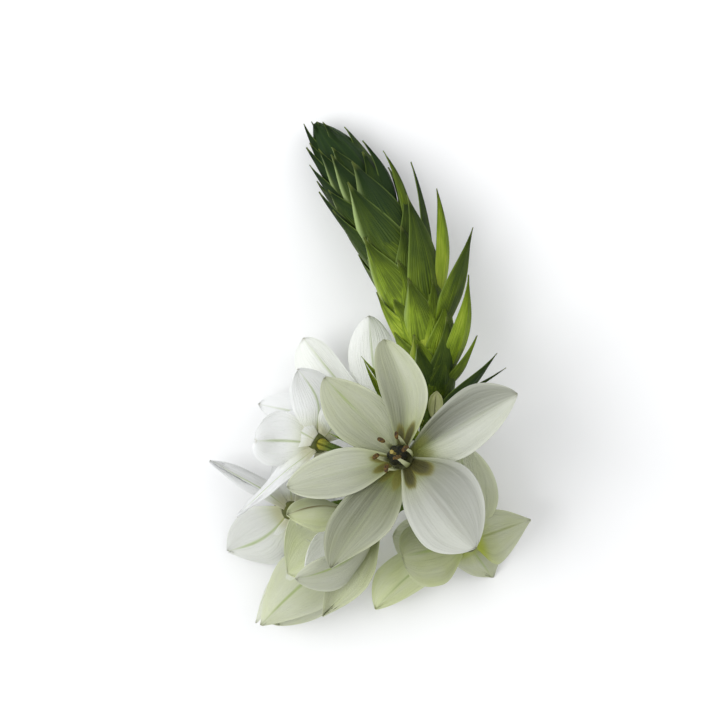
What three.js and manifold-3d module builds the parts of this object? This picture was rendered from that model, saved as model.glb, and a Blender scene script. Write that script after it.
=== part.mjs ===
// Cut flower head of a white ornithogalum, lying on its back on a flat surface.
// Millimetres. +Z points up from the surface and +Y towards the tip of the bract spike.
// The origin is under the middle of the whole head.
import * as THREE from "three";
import { mergeVertices } from "three/addons/utils/BufferGeometryUtils.js";
import Module from "manifold-3d";

const wasm = await Module();
wasm.setup();

// Driving dimensions
const TEPAL_THICKNESS = 0.65;
const TEPAL_FOOT_RADIUS = 1.35;
const OUTER_TEPAL_LIFT = 0.15;
const INNER_TEPAL_LIFT = -0.65;
const BRACT_THICKNESS = 0.62;
const STEM_RADIUS = 2.2;
const PEDICEL_RADIUS = 0.8;
const BUD_STALK_RADIUS = 0.6;
const RECEPTACLE_RADIUS = 1.25;
const RECEPTACLE_HEIGHT = 1.8;
const CUP_RADIUS = 1.9;
const CUP_FOOT_RADIUS = 1.2;
const CUP_TOP = 1.1;
const CUP_DEPTH = 1.0;
const SEAT_GAP = 0.3;
const SHORTEST_DETAIL = 0.045;
const FILAMENTS = 6;
const FIRST_FILAMENT_ANGLE = 12;
const FILAMENT_LENGTH = 5.8;
const FILAMENT_THICKNESS = 0.6;
const FILAMENT_FOOT_WIDTH = 0.9;
const FILAMENT_TAPER = 0.26;
const ANTHER_LENGTH = 1.5;
const ANTHER_RADIUS = 0.5;
const OPEN_SPREAD = 2.2;
const PLATE_THICKNESS = 0.4;
const PLATE_MARGIN = 1.05;
const OVARY_HEIGHT = 3.0;
const STYLE_LENGTH = 1.9;
const STYLE_RADIUS = 0.3;
const STIGMA_RADIUS = 0.45;

// The middle of the whole head in the plane of the table below, and the height of its lowest point
const HEAD_MIDDLE = new THREE.Vector3(0.05, -0.34, 1.27);

// The flowers. Each hub is the top of the receptacle, and the axis points out of the open flower.
// Inner and outer tepals follow in turn. The stalk leaves the stem at its first point, heading for
// the second. The spread is the reach of each anther, the plate the radius that the filaments rise
// from, and the foot the share of its width that a tepal has at its base. The rows and columns are
// the faces along and across a tepal or a filament.
const FLOWERS = [
  {
    name: "front_flower",
    hub: [5.6, -14.6, 29],
    axis: [-0.3, 0.18, 1],
    tepals: [
      tepal([-3.2, 20.1, -1.0], [1.6, 0, 0.25, 0, -2.4], [3.95, 0.62, 0.8], [4.1, 0.56, 0.7]),
      tepal([-13.3, 13.7, -2.5], [1.0, 0, 0.15, 0, 0], [5.25, 0.57, 0.6], [4.6, 0.5, 0.2]),
      tepal([-19.6, -4.9, -1.0], [1.6, 0, 0.2, 0, 0], [4.25, 0.57, 0.5], [4.05, 0.55, 0.5]),
      tepal([-12.2, -18.5, 3.0], [0.6, 0, 0.2, 0, 0], [5.45, 0.52, -0.15], [4.9, 0.66, 0.45]),
      tepal([12.1, -15.0, 8.0], [1.8, 0, 0.2, 0, 0], [7.9, 0.55, 0.5], [6.4, 0.68, 0.6]),
      tepal([19.2, 10.9, 6.5], [0.8, 0, 0.2, 0, 0], [5.1, 0.68, 0.5], [5.5, 0.5, 0.25]),
    ],
    stalk: [[10.7, -20, 18.5], [10, -19, 23]],
    spread: [2.3, 2.9, 2.9, 2.9, 2.9, 1.3],
    plate: 2.5,
    foot: 0.22,
    rows: 5,
    columns: 4,
    filamentRows: 3,
  },
  {
    name: "left_flower",
    hub: [-8.8, -12.1, 17],
    axis: [-0.45, 0.15, -0.88],
    tepals: [
      tepal([-3.5, 12.6, 3], [2, 0, 0.2, 0, 2.2], [4.2, 0.6, 0.5], [4.3, 0.5, 0.4]),
      tepal([-7.6, 3.9, -5.2], [-1.5, 1.5, 0.2, 0, 0], [3.5, 0.6, 0.5], [3.5, 0.6, 0.5]),
      tepal([-10.7, 0.4, 4], [2.5, 0, 0.2, 0, 0], [4.9, 0.52, 0.8], [4.5, 0.6, 0.8]),
      tepal([-13.9, -12.6, 1], [1, 0, 0.1, 105, 0], [2.4, 0.5, 0.3], [1.6, 0.5, 0.3]),
      tepal([5, -8, -3], [1, 0, 0.2, 0, 0], [4, 0.6, 0.6], [4, 0.6, 0.6]),
      tepal([7, 8, -0.5], [1, 0, 0.2, 0, 0], [4, 0.6, 0.6], [4, 0.6, 0.6]),
    ],
    stalk: [[10.7, -17.5, 18.5], [4, -17.5, 19]],
    spread: Array(6).fill(2.5),
    plate: 2.2,
    foot: 0.35,
    rows: 4,
    columns: 4,
    filamentRows: 1,
  },
  {
    name: "lower_left_flower",
    hub: [-13.3, -23.8, 12.5],
    axis: [-0.1, 0.05, -1],
    tepals: [
      tepal([-11.1, -7.0, -9], [1, 0, 0.2, 0, -1.3], [5.5, 0.52, 0.45], [5.2, 0.6, 0.3]),
      tepal([-14.2, 8.5, -7], [1, 0, 0.2, 40, 0.4], [2.4, 0.5, 0.5], [1.5, 0.6, 0.5]),
      tepal([-1.2, 10, -11], [1, 0, 0.2, 0, 0], [3.2, 0.6, 0.6], [3, 0.6, 0.6]),
      tepal([6.8, 4.5, -11], [1, 0, 0.2, 0, 0], [4, 0.6, 0.6], [4, 0.6, 0.6]),
      tepal([9, -5.5, -10.5], [1, 0, 0.2, 0, 0], [4, 0.6, 0.6], [4, 0.6, 0.6]),
      tepal([0, -10.5, -11], [1, 0, 0.2, 0, 0], [4, 0.6, 0.6], [4, 0.6, 0.6]),
    ],
    stalk: [[10.7, -21, 18.2], [3, -20.5, 12]],
    spread: Array(6).fill(2),
    plate: 1.75,
    foot: 0.35,
    rows: 4,
    columns: 4,
    filamentRows: 1,
  },
  {
    name: "half_open_flower",
    hub: [0.2, -26.4, 21.5],
    axis: [-0.86, -0.42, 0.3],
    tepals: [
      tepal([-14.3, 2.2, 6], [0, 4, 0.4, -70, 0], [2.4, 0.6, 0.6], [3.7, 0.6, 0.6]),
      tepal([-14.2, -8.0, -3.5], [0, 4, 0.6, 0, -1.5], [4.5, 0.6, 0.6], [7.0, 0.62, 0.8]),
      tepal([-12.8, -8.5, 8], [0, 3, 0.3, 0, -1], [2.4, 0.6, 0.4], [5.6, 0.6, 0.5]),
      tepal([-8.3, -15.1, 0], [0, 2.0, 0.3, -75, 0], [3.1, 0.5, -0.2], [4, 0.5, 0.2]),
      tepal([-11.2, -7.2, 1], [0, 3, 0.6, 0, 0], [4.2, 0.6, 0.5], [4.2, 0.6, 0.5]),
      tepal([-13, 0, -3], [0, 4, 0.6, 0, 0], [4.5, 0.6, 0.5], [4.5, 0.6, 0.5]),
    ],
    stalk: [[10.7, -20, 18.5], [6, -20.5, 20]],
    spread: Array(6).fill(1.3),
    plate: 1.25,
    foot: 0.35,
    rows: 5,
    columns: 2,
    filamentRows: 1,
  },
  {
    name: "back_flower",
    hub: [3.1, -10.2, 12.5],
    axis: [0, 0.1, -1],
    tepals: [
      tepal([-3.3, 19.8, -2], [1, 0, 0.2, 0, -0.6], [4.2, 0.6, 0.6], [4.2, 0.65, 0.6]),
      tepal([8.8, 9.7, -5], [1, 0, 0.2, 0, 0], [4.3, 0.6, 0.6], [4.3, 0.6, 0.6]),
      tepal([12.2, -3.1, -5], [1, 0, 0.2, 0, 0], [4.3, 0.6, 0.6], [4.3, 0.6, 0.6]),
      tepal([2, -12, -4], [1, 0, 0.2, 0, 0], [4.3, 0.6, 0.6], [4.3, 0.6, 0.6]),
      tepal([-22.2, 4.7, -6.5], [1.2, 0, 0.2, 0, 0], [3.6, 0.6, 0.6], [3.6, 0.6, 0.6]),
      tepal([-14.5, 16.0, -2.6], [0.4, 0, 0.2, 0, -0.5], [2.5, 0.8, 0.6], [4.8, 0.78, 0.9]),
    ],
    stalk: [[10.7, -11, 18.5], [6.5, -11, 18.5]],
    spread: Array(6).fill(3),
    plate: 2.2,
    foot: 0.35,
    rows: 4,
    columns: 4,
    filamentRows: 1,
  },
  {
    name: "closed_flower",
    hub: [-3.1, -30.6, 9.5],
    axis: [-0.72, -0.69, -0.1],
    tepals: [
      tepal([-15.5, -12.7, 3], [0, 5, 0.35, 0, 0], [6.6, 0.5, 0.05], [5.0, 0.5, 0.05]),
      tepal([-16.4, -12.4, -1], [0, 9, 0.5, 0, 0], [4.5, 0.6, 0.4], [4.5, 0.6, 0.4]),
      tepal([-14.5, -12.5, -4], [0, 4, 0.5, 0, 0], [4.5, 0.6, 0.4], [4.5, 0.6, 0.4]),
      tepal([-13.3, -12.8, -4], [0, 4, 0.5, 0, 0], [4.5, 0.6, 0.4], [4.5, 0.6, 0.4]),
      tepal([-12.2, -12.8, -1], [0, 4, 0.5, 0, 0], [4.5, 0.6, 0.4], [4.5, 0.6, 0.4]),
      tepal([-12.5, -12.6, 2], [0, 3, 0.5, 0, 0], [4.5, 0.6, 0.4], [4.5, 0.6, 0.4]),
    ],
    stalk: [[10.7, -22, 18], [4, -21.5, 11]],
    spread: Array(6).fill(0.9),
    plate: 1.2,
    foot: 0.35,
    rows: 4,
    columns: 2,
    filamentRows: 1,
  },
  {
    name: "right_flower",
    hub: [16.7, -29.1, 12.8],
    axis: [0.1, -0.1, -1],
    tepals: [
      tepal([-1.1, 16.6, -4], [1, 0, 0.2, 0, 0], [5.7, 0.47, 0.6], [5, 0.6, 0.6]),
      tepal([10.8, 3.8, -3], [1, 0, 0.2, 0, 0], [5.3, 0.3, -0.2], [4.1, 0.45, 0]),
      tepal([4.4, -6.3, -11.3], [1, 0, 0.2, 0, 0], [4.0, 0.35, 0], [3.6, 0.5, 0.3]),
      tepal([-11.2, -2.4, 3], [1, 0, 0.2, 0, 0], [5.2, 0.6, 1.1], [6.1, 0.5, 1.1]),
      tepal([-15.8, -11.6, -6], [1, 0, 0.2, 0, 1.3], [4.6, 0.78, 0.6], [3.1, 0.5, 0.3]),
      tepal([-12.7, 1.0, -8], [1, 0, 0.2, 0, 0], [4, 0.6, 0.8], [4.2, 0.7, 1.0]),
    ],
    stalk: [[10.8, -25.5, 18.5], [13, -29.5, 17.5]],
    spread: Array(6).fill(1.8),
    plate: 1.55,
    foot: 0.35,
    rows: 4,
    columns: 4,
    filamentRows: 1,
  },
];

// The spike's axis, from the topmost flower stalk to its tip
const SPIKE = new THREE.CubicBezierCurve3(
  new THREE.Vector3(10.5, -3.9, 18),
  new THREE.Vector3(10.9, 9.7, 16.5),
  new THREE.Vector3(2.6, 26.6, 7.3),
  new THREE.Vector3(-9.4, 42.7, 5.0),
);
const SPIKE_LENGTH = 52;
const LOWEST_FOOT = -0.072;

// Reach of the bract tips from the axis: at the spike's foot, at the end of its lower part, at its
// fullest, and where its rounded end begins as a share of its length
const SPIKE_FOOT_REACH = 2.6;
const SPIKE_LOWER_REACH = 5.3;
const SPIKE_FULL_REACH = 6.1;
const SPIKE_ROUNDING = 0.72;

const CUT_END = new THREE.Vector3(11.2, -27.6, 18);

// Bracts whose tips can be told apart: tip x and y, width, length, the angle round the axis from its
// right-hand side towards the viewer for those that spread (the others lie on the viewer's side),
// sideways bend, how early they bend away (0 for those that hug the spike), and turn of their face
const STANDING_BRACTS = [
  [-3.8, 32.4, 10, 21, 0, -0.5, 0, 0],
  [-3.1, 36.0, 10, 20, 0, 0, 0, 0],
  [6.4, 30.0, 8, 21, 56, 0.4, 0, 0],
  [-1.1, 23.1, 10, 19, 0, -0.5, 0, 0],
  [6.4, 16.2, 9, 17, 0, -0.4, 0, 0],
  [1.5, 12.8, 9, 15, 0, -0.5, 0, 0],
  [7.9, 4.9, 6, 12, 0, 0, 0, 0],
  [13.0, 9.2, 6.5, 14, 58, 0.4, 0, 0],
  [17.4, 24.7, 5.2, 18, 38, -0.9, 0.5, 15],
  [11.3, 31.4, 4.0, 19, 25, 0.3, 0.55, 30],
  [7.0, 35.9, 4.2, 20, 22, 1.2, 0, 0],
  [2.2, 37.9, 3.8, 15, 30, 1.0, 0, 0],
  [-1.3, 39.6, 3.6, 13, 45, 1.0, 0, 0],
  [16.7, 16.6, 5.2, 18, 35, -0.3, 0.62, 10],
  [18.2, 6.3, 3.4, 11, 25, 0, 0.5, 10],
  [21.5, 3.3, 4, 15, 35, -0.8, 0.5, 15],
  [23.1, 0.5, 1.5, 12, 10, -1.5, 0.5, 60],
  [14.3, 1.0, 8, 12, 0, 0, 0, 0],
  [-6.8, 37.4, 6, 15, 0, -0.4, 0, 0],
  [-8.8, 38.2, 5.5, 14, 0, -0.4, 0, 0],
  [-10.9, 38.6, 5, 13, 0, 0, 0, 0],
  [-10.4, 35.6, 5.5, 15, 0, 0, 0, 0],
  [-8.8, 30.9, 6, 16, 0, 0, 0, 0],
  [-6.3, 27.7, 6, 16, 0, 0, 0, 0],
  [-8.2, 43.0, 4.5, 11, 0, 0, 0, 0],
  [-10.0, 42.9, 4, 10, 0, 0, 0, 0],
  [-11.3, 42.6, 3.6, 9, 0, 0, 0, 0],
  [10.5, 15.8, 7, 12, 0, 0, 0, 0],
  [12.6, 12.0, 7, 11, 50, 0, 0, 0],
  [12.6, 3.4, 8, 10, 0, 0, 0, 0],
];
const PRESSED_BRACTS = 26;
const GOLDEN_ANGLE = 137.5;

// Small bracts at the feet of the flower stalks: foot, knee, tip, width
const STALK_BRACTS = [
  [[9.2, -9, 19.5], [3, -3, 22], [-1.5, 2.7, 23.5], 1.8],
  [[9.2, -12, 19.5], [1.5, -4.5, 23], [-1.0, 1.9, 25], 2],
  [[9.2, -17, 20], [0, -13.5, 22], [-7.0, -10.4, 22.5], 1.6],
];

// The young bud in the lowest bract's axil
const BUD = { stalk: [10.7, -9.5, 18], foot: [11.0, -7.6, 21.8], tip: [11.3, -3.2, 24.2], width: 2.7 };

const WHITE = { color: "#eef0e4", roughness: 0.55, metalness: 0 };
const GREEN = { color: "#5d8a2f", roughness: 0.6, metalness: 0 };
const PALE = { color: "#b9c58a", roughness: 0.6, metalness: 0 };
const BROWN = { color: "#6b3d16", roughness: 0.8, metalness: 0 };
const DARK = { color: "#1d2a17", roughness: 0.45, metalness: 0 };

function vector([x, y, z]) {
  return new THREE.Vector3(x, y, z);
}

function between(a, b, share) {
  return a.clone().lerp(b, share);
}

// A tepal by the place of its tip from the hub, its bend and its two margins. The bend is bow (along
// the flower's axis), bulge (away from it), cup (raised edges), twist in degrees and sway to the side.
// A margin is half the width, where it is widest and how blunt it ends; the first margin is the one
// that lies counter-clockwise, seen from the top of the flower.
function tepal(tip, bend, first, second) {
  return { tip, bend, first, second };
}

// A closed geometry as a solid that can be joined with others
function solid(geometry) {
  const bare = geometry.clone();
  bare.deleteAttribute("normal");
  bare.deleteAttribute("uv");
  const merged = mergeVertices(bare, 1e-4);
  return new wasm.Manifold(
    new wasm.Mesh({
      numProp: 3,
      vertProperties: merged.attributes.position.array,
      triVerts: new Uint32Array(merged.index.array),
    }),
  );
}

// One closed mesh of all the given geometries
function fuse(geometries) {
  const joined = wasm.Manifold.union(geometries.map(solid)).asOriginal().simplify(SHORTEST_DETAIL);
  const largest = joined.decompose().sort((a, b) => b.volume() - a.volume())[0];
  const mesh = largest.getMesh();
  return new THREE.BufferGeometry()
    .setAttribute("position", new THREE.BufferAttribute(mesh.vertProperties, 3))
    .setIndex(new THREE.BufferAttribute(mesh.triVerts, 1));
}

// A closed blade of even thickness round a middle surface: surface(u, v) is a point,
// u running from foot to tip in ever shorter rows and v from -1 to 1 across
function blade(surface, rows, columns, thickness) {
  const step = 1e-3;
  const points = [];
  for (const side of [0.5, -0.5])
    for (let i = 0; i <= rows; i++)
      for (let j = 0; j <= columns; j++) {
        const s = i / rows;
        const u = s * (1.25 - 0.25 * s);
        const v = (2 * j) / columns - 1;
        const along = surface(u + step, v).sub(surface(u - step, v));
        const across = surface(u, v + step).sub(surface(u, v - step));
        const normal = along.cross(across).normalize();
        points.push(surface(u, v).addScaledVector(normal, side * thickness));
      }
  const back = (rows + 1) * (columns + 1);
  const at = (i, j) => i * (columns + 1) + j;
  const faces = [];
  for (let i = 0; i < rows; i++)
    for (let j = 0; j < columns; j++) {
      const [a, b, c, d] = [at(i, j), at(i + 1, j), at(i + 1, j + 1), at(i, j + 1)];
      faces.push(a, b, c, a, c, d);
      faces.push(back + a, back + c, back + b, back + a, back + d, back + c);
    }
  const rim = [];
  for (let j = 0; j < columns; j++) rim.push([at(0, j), at(0, j + 1)]);
  for (let i = 0; i < rows; i++) rim.push([at(i, columns), at(i + 1, columns)]);
  for (let j = columns; j > 0; j--) rim.push([at(rows, j), at(rows, j - 1)]);
  for (let i = rows; i > 0; i--) rim.push([at(i, 0), at(i - 1, 0)]);
  for (const [a, b] of rim) faces.push(a, b, back + b, a, back + b, back + a);
  const geometry = new THREE.BufferGeometry().setFromPoints(points);
  geometry.setIndex(faces);
  return geometry;
}

// The middle surface of a leaf-like organ along a bent line, with its side held level;
// half(u, v) is half its width on either side of the line
function leafSurface({ foot, knee, tip, side, half, cup = 0, twist = 0, sway = 0 }) {
  const line = new THREE.QuadraticBezierCurve3(foot, knee, tip);
  const tangentAt = (u) =>
    between(knee.clone().sub(foot), tip.clone().sub(knee), u).normalize();
  return (u, v) => {
    const tangent = tangentAt(u);
    const turned = side.clone().applyAxisAngle(tangent, THREE.MathUtils.degToRad(twist * (0.4 + 0.6 * u)));
    const normal = tangent.clone().cross(turned).normalize();
    const held = Math.min(Math.max(u, 0), 1);
    const reach = half(held, v);
    return line
      .getPoint(u)
      .addScaledVector(turned, reach * v + sway * Math.sin(Math.PI * held))
      .addScaledVector(normal, reach * cup * v * v);
  };
}

// Half the width of a tepal along one margin: a narrow foot, then a curve to a tip with a small point
function margin(u, foot, [half, widest, blunt]) {
  const point = 0.08;
  if (u < widest) return half * (foot + (1 - foot) * Math.sin((Math.PI / 2) * (u / widest)) ** 1.15);
  const t = (u - widest) / (1 - widest);
  return half * (point + (1 - point) * (1 - t ** (1.6 + 0.8 * blunt)) ** (1 - 0.5 * blunt));
}

// Share of a bract's width at u: broad low down, drawn out into a slender tip
function bractOutline(u) {
  const widest = 0.38;
  const foot = 0.5;
  const point = 0.07;
  if (u < widest) return foot + (1 - foot) * Math.sin((Math.PI / 2) * (u / widest));
  const t = (u - widest) / (1 - widest);
  return point + (1 - point) * (1 - t) ** 1.5 * (1 + 0.9 * t);
}

// The six tepals of a flower on their receptacle
function tepalsGeometry(flower) {
  const axis = vector(flower.axis).normalize();
  const pieces = [cupGeometry(axis)];
  flower.tepals.forEach(({ tip: place, bend, first, second }, i) => {
    const [bow, bulge, cup, twist, sway] = bend;
    const tip = vector(place);
    const radial = tip.clone().addScaledVector(axis, -tip.dot(axis)).normalize();
    const lift = i % 2 ? INNER_TEPAL_LIFT : OUTER_TEPAL_LIFT;
    const foot = radial.clone().multiplyScalar(TEPAL_FOOT_RADIUS).addScaledVector(axis, lift);
    const knee = between(foot, tip, 0.42)
      .addScaledVector(axis, bow)
      .addScaledVector(radial, bulge);
    const side = axis.clone().cross(radial).normalize();
    const half = (u, v) => margin(u, flower.foot, v > 0 ? first : second);
    const surface = leafSurface({ foot, knee, tip, side, half, cup, twist, sway });
    pieces.push(blade(surface, flower.rows, flower.columns, TEPAL_THICKNESS));
  });
  return fuse(pieces);
}

// Turns a lathe's axis from +Y to the given direction
function alongAxis(geometry, axis) {
  const turn = new THREE.Quaternion().setFromUnitVectors(new THREE.Vector3(0, 1, 0), axis);
  return geometry.applyQuaternion(turn);
}

function lathe(profile, sides) {
  return new THREE.LatheGeometry(
    profile.map(([r, h]) => new THREE.Vector2(r, h)),
    sides,
  );
}

function cupGeometry(axis) {
  const profile = [
    [0, -CUP_DEPTH],
    [CUP_FOOT_RADIUS, -CUP_DEPTH],
    [CUP_RADIUS, -0.3],
    [CUP_RADIUS, CUP_TOP],
    [0, CUP_TOP],
  ];
  return alongAxis(lathe(profile, 8), axis);
}

// Two directions square to an axis
function crossAxes(axis) {
  const start = Math.abs(axis.z) > 0.8 ? new THREE.Vector3(1, 0, 0) : new THREE.Vector3(0, 0, 1);
  const first = start.clone().addScaledVector(axis, -start.dot(axis)).normalize();
  return [first, axis.clone().cross(first)];
}

// Six filaments with their anthers, joined by a thin plate on the receptacle
function stamensGeometry(flower) {
  const axis = vector(flower.axis).normalize();
  const [first, second] = crossAxes(axis);
  const radius = flower.plate;
  const low = CUP_TOP + SEAT_GAP;
  const high = low + PLATE_THICKNESS;
  const plate = [
    [0, low],
    [radius, low],
    [radius, high],
    [0, high],
  ];
  const pieces = [alongAxis(lathe(plate, FILAMENTS), axis)];
  flower.spread.forEach((spread, k) => {
    const angle = THREE.MathUtils.degToRad((360 * k) / FILAMENTS + FIRST_FILAMENT_ANGLE);
    const radial = first
      .clone()
      .multiplyScalar(Math.cos(angle))
      .addScaledVector(second, Math.sin(angle));
    const foot = radial
      .clone()
      .multiplyScalar(radius - 0.45)
      .addScaledVector(axis, low + 0.1);
    const rise = Math.sqrt(FILAMENT_LENGTH ** 2 - (spread - radius) ** 2);
    const top = radial
      .clone()
      .multiplyScalar(spread)
      .addScaledVector(axis, low + rise);
    const knee = between(foot, top, 0.5).addScaledVector(radial, 0.4);
    const side = axis.clone().cross(radial).normalize();
    const half = (u) => 0.5 * (FILAMENT_FOOT_WIDTH - FILAMENT_TAPER * u);
    const surface = leafSurface({ foot, knee, tip: top, side, half });
    pieces.push(blade(surface, flower.filamentRows, 1, FILAMENT_THICKNESS));
    const anther = new THREE.SphereGeometry(ANTHER_RADIUS, 4, 2).scale(1, ANTHER_LENGTH, 1);
    const [across, outward] = spread > OPEN_SPREAD ? [0.3, 0.95] : [0.8, 0.6];
    const lying = side.clone().multiplyScalar(across).addScaledVector(radial, outward).normalize();
    alongAxis(anther, lying);
    anther.translate(top.x, top.y, top.z);
    pieces.push(anther);
  });
  return fuse(pieces);
}

// The ovary with its style and stigma, standing on the stamens' plate
function pistilGeometry(flower) {
  const axis = vector(flower.axis).normalize();
  const low = CUP_TOP + PLATE_THICKNESS + 2 * SEAT_GAP;
  const radius = flower.plate - PLATE_MARGIN;
  const top = low + OVARY_HEIGHT;
  const profile = [
    [0, low],
    [0.7 * radius, low],
    [radius, low + 0.45 * OVARY_HEIGHT],
    [0.75 * radius, low + 0.8 * OVARY_HEIGHT],
    [STYLE_RADIUS, top],
    [STYLE_RADIUS, top + STYLE_LENGTH - 0.5],
    [STIGMA_RADIUS, top + STYLE_LENGTH],
    [0, top + STYLE_LENGTH],
  ];
  return alongAxis(lathe(profile, 6), axis);
}

function tube(curve, radius, sides, steps) {
  const shape = new THREE.Shape();
  for (let k = 0; k < sides; k++) {
    const angle = (2 * Math.PI * k) / sides;
    const [x, y] = [radius * Math.cos(angle), radius * Math.sin(angle)];
    if (k) shape.lineTo(x, y);
    else shape.moveTo(x, y);
  }
  shape.closePath();
  return new THREE.ExtrudeGeometry(shape, { steps, extrudePath: curve, bevelEnabled: false });
}

// A flower stalk from the stem to the underside of the flower's receptacle
function pedicel(flower) {
  const axis = vector(flower.axis).normalize();
  const hub = vector(flower.hub);
  const end = hub.clone().addScaledVector(axis, -CUP_DEPTH - SEAT_GAP);
  const [start, heading] = flower.stalk.map(vector);
  const reach = start.distanceTo(end);
  const last = end.clone().addScaledVector(axis, -0.3 * reach);
  const curve = new THREE.CubicBezierCurve3(start, heading, last, end);
  const swelling = [
    [0, -RECEPTACLE_HEIGHT],
    [PEDICEL_RADIUS - 0.05, -RECEPTACLE_HEIGHT],
    [RECEPTACLE_RADIUS, 0],
    [0, 0],
  ];
  const receptacle = alongAxis(lathe(swelling, 6), axis);
  receptacle.translate(end.x, end.y, end.z);
  return [tube(curve, PEDICEL_RADIUS, 5, 6), receptacle];
}

// The reach of the bract tips from the spike's axis at a share of its length
function spikeRadius(share) {
  const s = Math.min(Math.max(share, 0), 1.004);
  const fullest = SPIKE_ROUNDING;
  if (s >= fullest) return SPIKE_FULL_REACH * (1 - ((s - fullest) / 0.285) ** 2.4) ** 0.65;
  const widening = Math.sin((Math.PI / 2) * Math.min(s / 0.3, 1));
  const low = SPIKE_FOOT_REACH + (SPIKE_LOWER_REACH - SPIKE_FOOT_REACH) * widening;
  return low + (SPIKE_FULL_REACH - SPIKE_LOWER_REACH) * THREE.MathUtils.smoothstep(s, 0.3, fullest);
}

function coreRadius(share) {
  const filled = 0.72 + 0.12 * THREE.MathUtils.smoothstep(share, 0.6, 0.9);
  return Math.max(filled * spikeRadius(share) - 3 * Math.max(share - 0.85, 0), 0.7);
}

// The spike's axis at a share of its length, with directions along, right and to the viewer;
// past its end the axis runs on straight
function spikeFrame(share) {
  const held = Math.min(Math.max(share, 0), 1);
  const along = SPIKE.getTangent(held);
  const centre = SPIKE.getPoint(held).addScaledVector(along, (share - held) * SPIKE_LENGTH);
  const right = along.clone().cross(new THREE.Vector3(0, 0, 1)).normalize();
  return { centre, along, right, front: right.clone().cross(along) };
}

// A point round the spike's axis
function besideSpike(share, angle, reach) {
  const { centre, right, front } = spikeFrame(share);
  return centre
    .addScaledVector(right, reach * Math.cos(angle))
    .addScaledVector(front, reach * Math.sin(angle));
}

// The share of the spike's length at which a point of the picture plane lies
function shareBeside(x, y) {
  let best = 0;
  let nearest = Infinity;
  for (let share = 0; share <= 1.2; share += 0.01) {
    const { centre } = spikeFrame(share);
    const distance = Math.hypot(centre.x - x, centre.y - y);
    if (distance < nearest) [best, nearest] = [share, distance];
  }
  return best;
}

// A bract that wraps the spike from its foot on the core to a tip at a share of the length,
// an angle round the axis and a reach from it
function bract({ place: [share, angle, reach], width, length, sway = 0, bow = 0, face = 0 }) {
  const rise = Math.sqrt(Math.max(length ** 2 - (reach - 4) ** 2, 16)) / SPIKE_LENGTH;
  const foot = Math.max(share - rise, LOWEST_FOOT);
  const low = coreRadius(foot) - 0.5;
  const middle = spikeRadius(0.5 * (foot + share));
  const hugging = Math.min(low + 0.75 * (reach - low), middle + 0.6);
  const knee = bow ? low + bow * (reach - low) : hugging;
  const surface = (u, v) => {
    const held = Math.min(Math.max(u, 0), 1);
    const radius = (1 - u) ** 2 * low + 2 * u * (1 - u) * knee + u ** 2 * reach;
    const sideways = 0.5 * v * width * bractOutline(held) + sway * Math.sin(Math.PI * u);
    const facing = THREE.MathUtils.degToRad(face) * THREE.MathUtils.smoothstep(held, 0.15, 0.7);
    const bent = angle - (sideways * Math.cos(facing)) / Math.max(radius, 3);
    return besideSpike(foot + (share - foot) * u, bent, radius + sideways * Math.sin(facing));
  };
  return blade(surface, 5, 2, BRACT_THICKNESS);
}

// Where round the spike a bract's tip lies that is seen at a point of the picture plane
function tipPlace(x, y, turn) {
  const share = shareBeside(x, y);
  const { centre, right } = spikeFrame(share);
  const offset = (x - centre.x) * right.x + (y - centre.y) * right.y;
  if (turn) {
    const angle = THREE.MathUtils.degToRad(turn);
    return [share, angle, offset / Math.cos(angle)];
  }
  const reach = Math.max(spikeRadius(share) + 0.7, Math.abs(offset) + 0.1);
  return [share, Math.acos(offset / reach), reach];
}

function standingBract([x, y, width, length, turn, sway, bow, face]) {
  let [seenX, seenY] = [x, y];
  let place = tipPlace(x, y, turn);
  for (let k = 0; k < 6; k++) {
    const tip = besideSpike(...place);
    seenX += x - tip.x;
    seenY += y - tip.y;
    place = tipPlace(seenX, seenY, turn);
  }
  return bract({ place, width, length, sway, bow, face });
}

// The bracts that lie close to the spike, set round its axis by the golden angle
function pressedBracts() {
  const made = [];
  for (let k = 0; k < PRESSED_BRACTS; k++) {
    const share = 0.1 + (0.9 * k) / (PRESSED_BRACTS - 1);
    const width = 10 - 6 * Math.max(0, (share - 0.6) / 0.4);
    const length = 19 - 9 * share;
    const angle = THREE.MathUtils.degToRad(GOLDEN_ANGLE * k);
    made.push(bract({ place: [share, angle, spikeRadius(share) + 0.1], width, length }));
  }
  return made;
}

function spikeCore() {
  const steps = 8;
  const sides = 9;
  const geometry = new THREE.CylinderGeometry(1, 1, 1, sides, steps);
  const position = geometry.getAttribute("position");
  for (let k = 0; k < position.count; k++) {
    const { x, y, z } = new THREE.Vector3().fromBufferAttribute(position, k);
    const share = y + 0.5;
    const point = besideSpike(share, Math.atan2(z, x), Math.hypot(x, z) * coreRadius(share));
    position.setXYZ(k, point.x, point.y, point.z);
  }
  return geometry;
}

// A small bract at the foot of a flower stalk
function stalkBract([foot, knee, tip, width]) {
  const along = vector(tip).sub(vector(foot));
  const surface = leafSurface({
    foot: vector(foot),
    knee: vector(knee),
    tip: vector(tip),
    side: along.cross(new THREE.Vector3(0, 0, -1)).normalize(),
    half: (u) => 0.5 * width * bractOutline(u),
    cup: 0.2,
  });
  return blade(surface, 5, 2, BRACT_THICKNESS);
}

// The short stalk that ends below the young bud
function budStalk() {
  const foot = vector(BUD.foot);
  const axis = vector(BUD.tip).sub(foot).normalize();
  const end = foot.clone().addScaledVector(axis, -SEAT_GAP);
  const start = vector(BUD.stalk);
  return tube(new THREE.CatmullRomCurve3([start, between(start, end, 0.5), end]), BUD_STALK_RADIUS, 6, 2);
}

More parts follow.
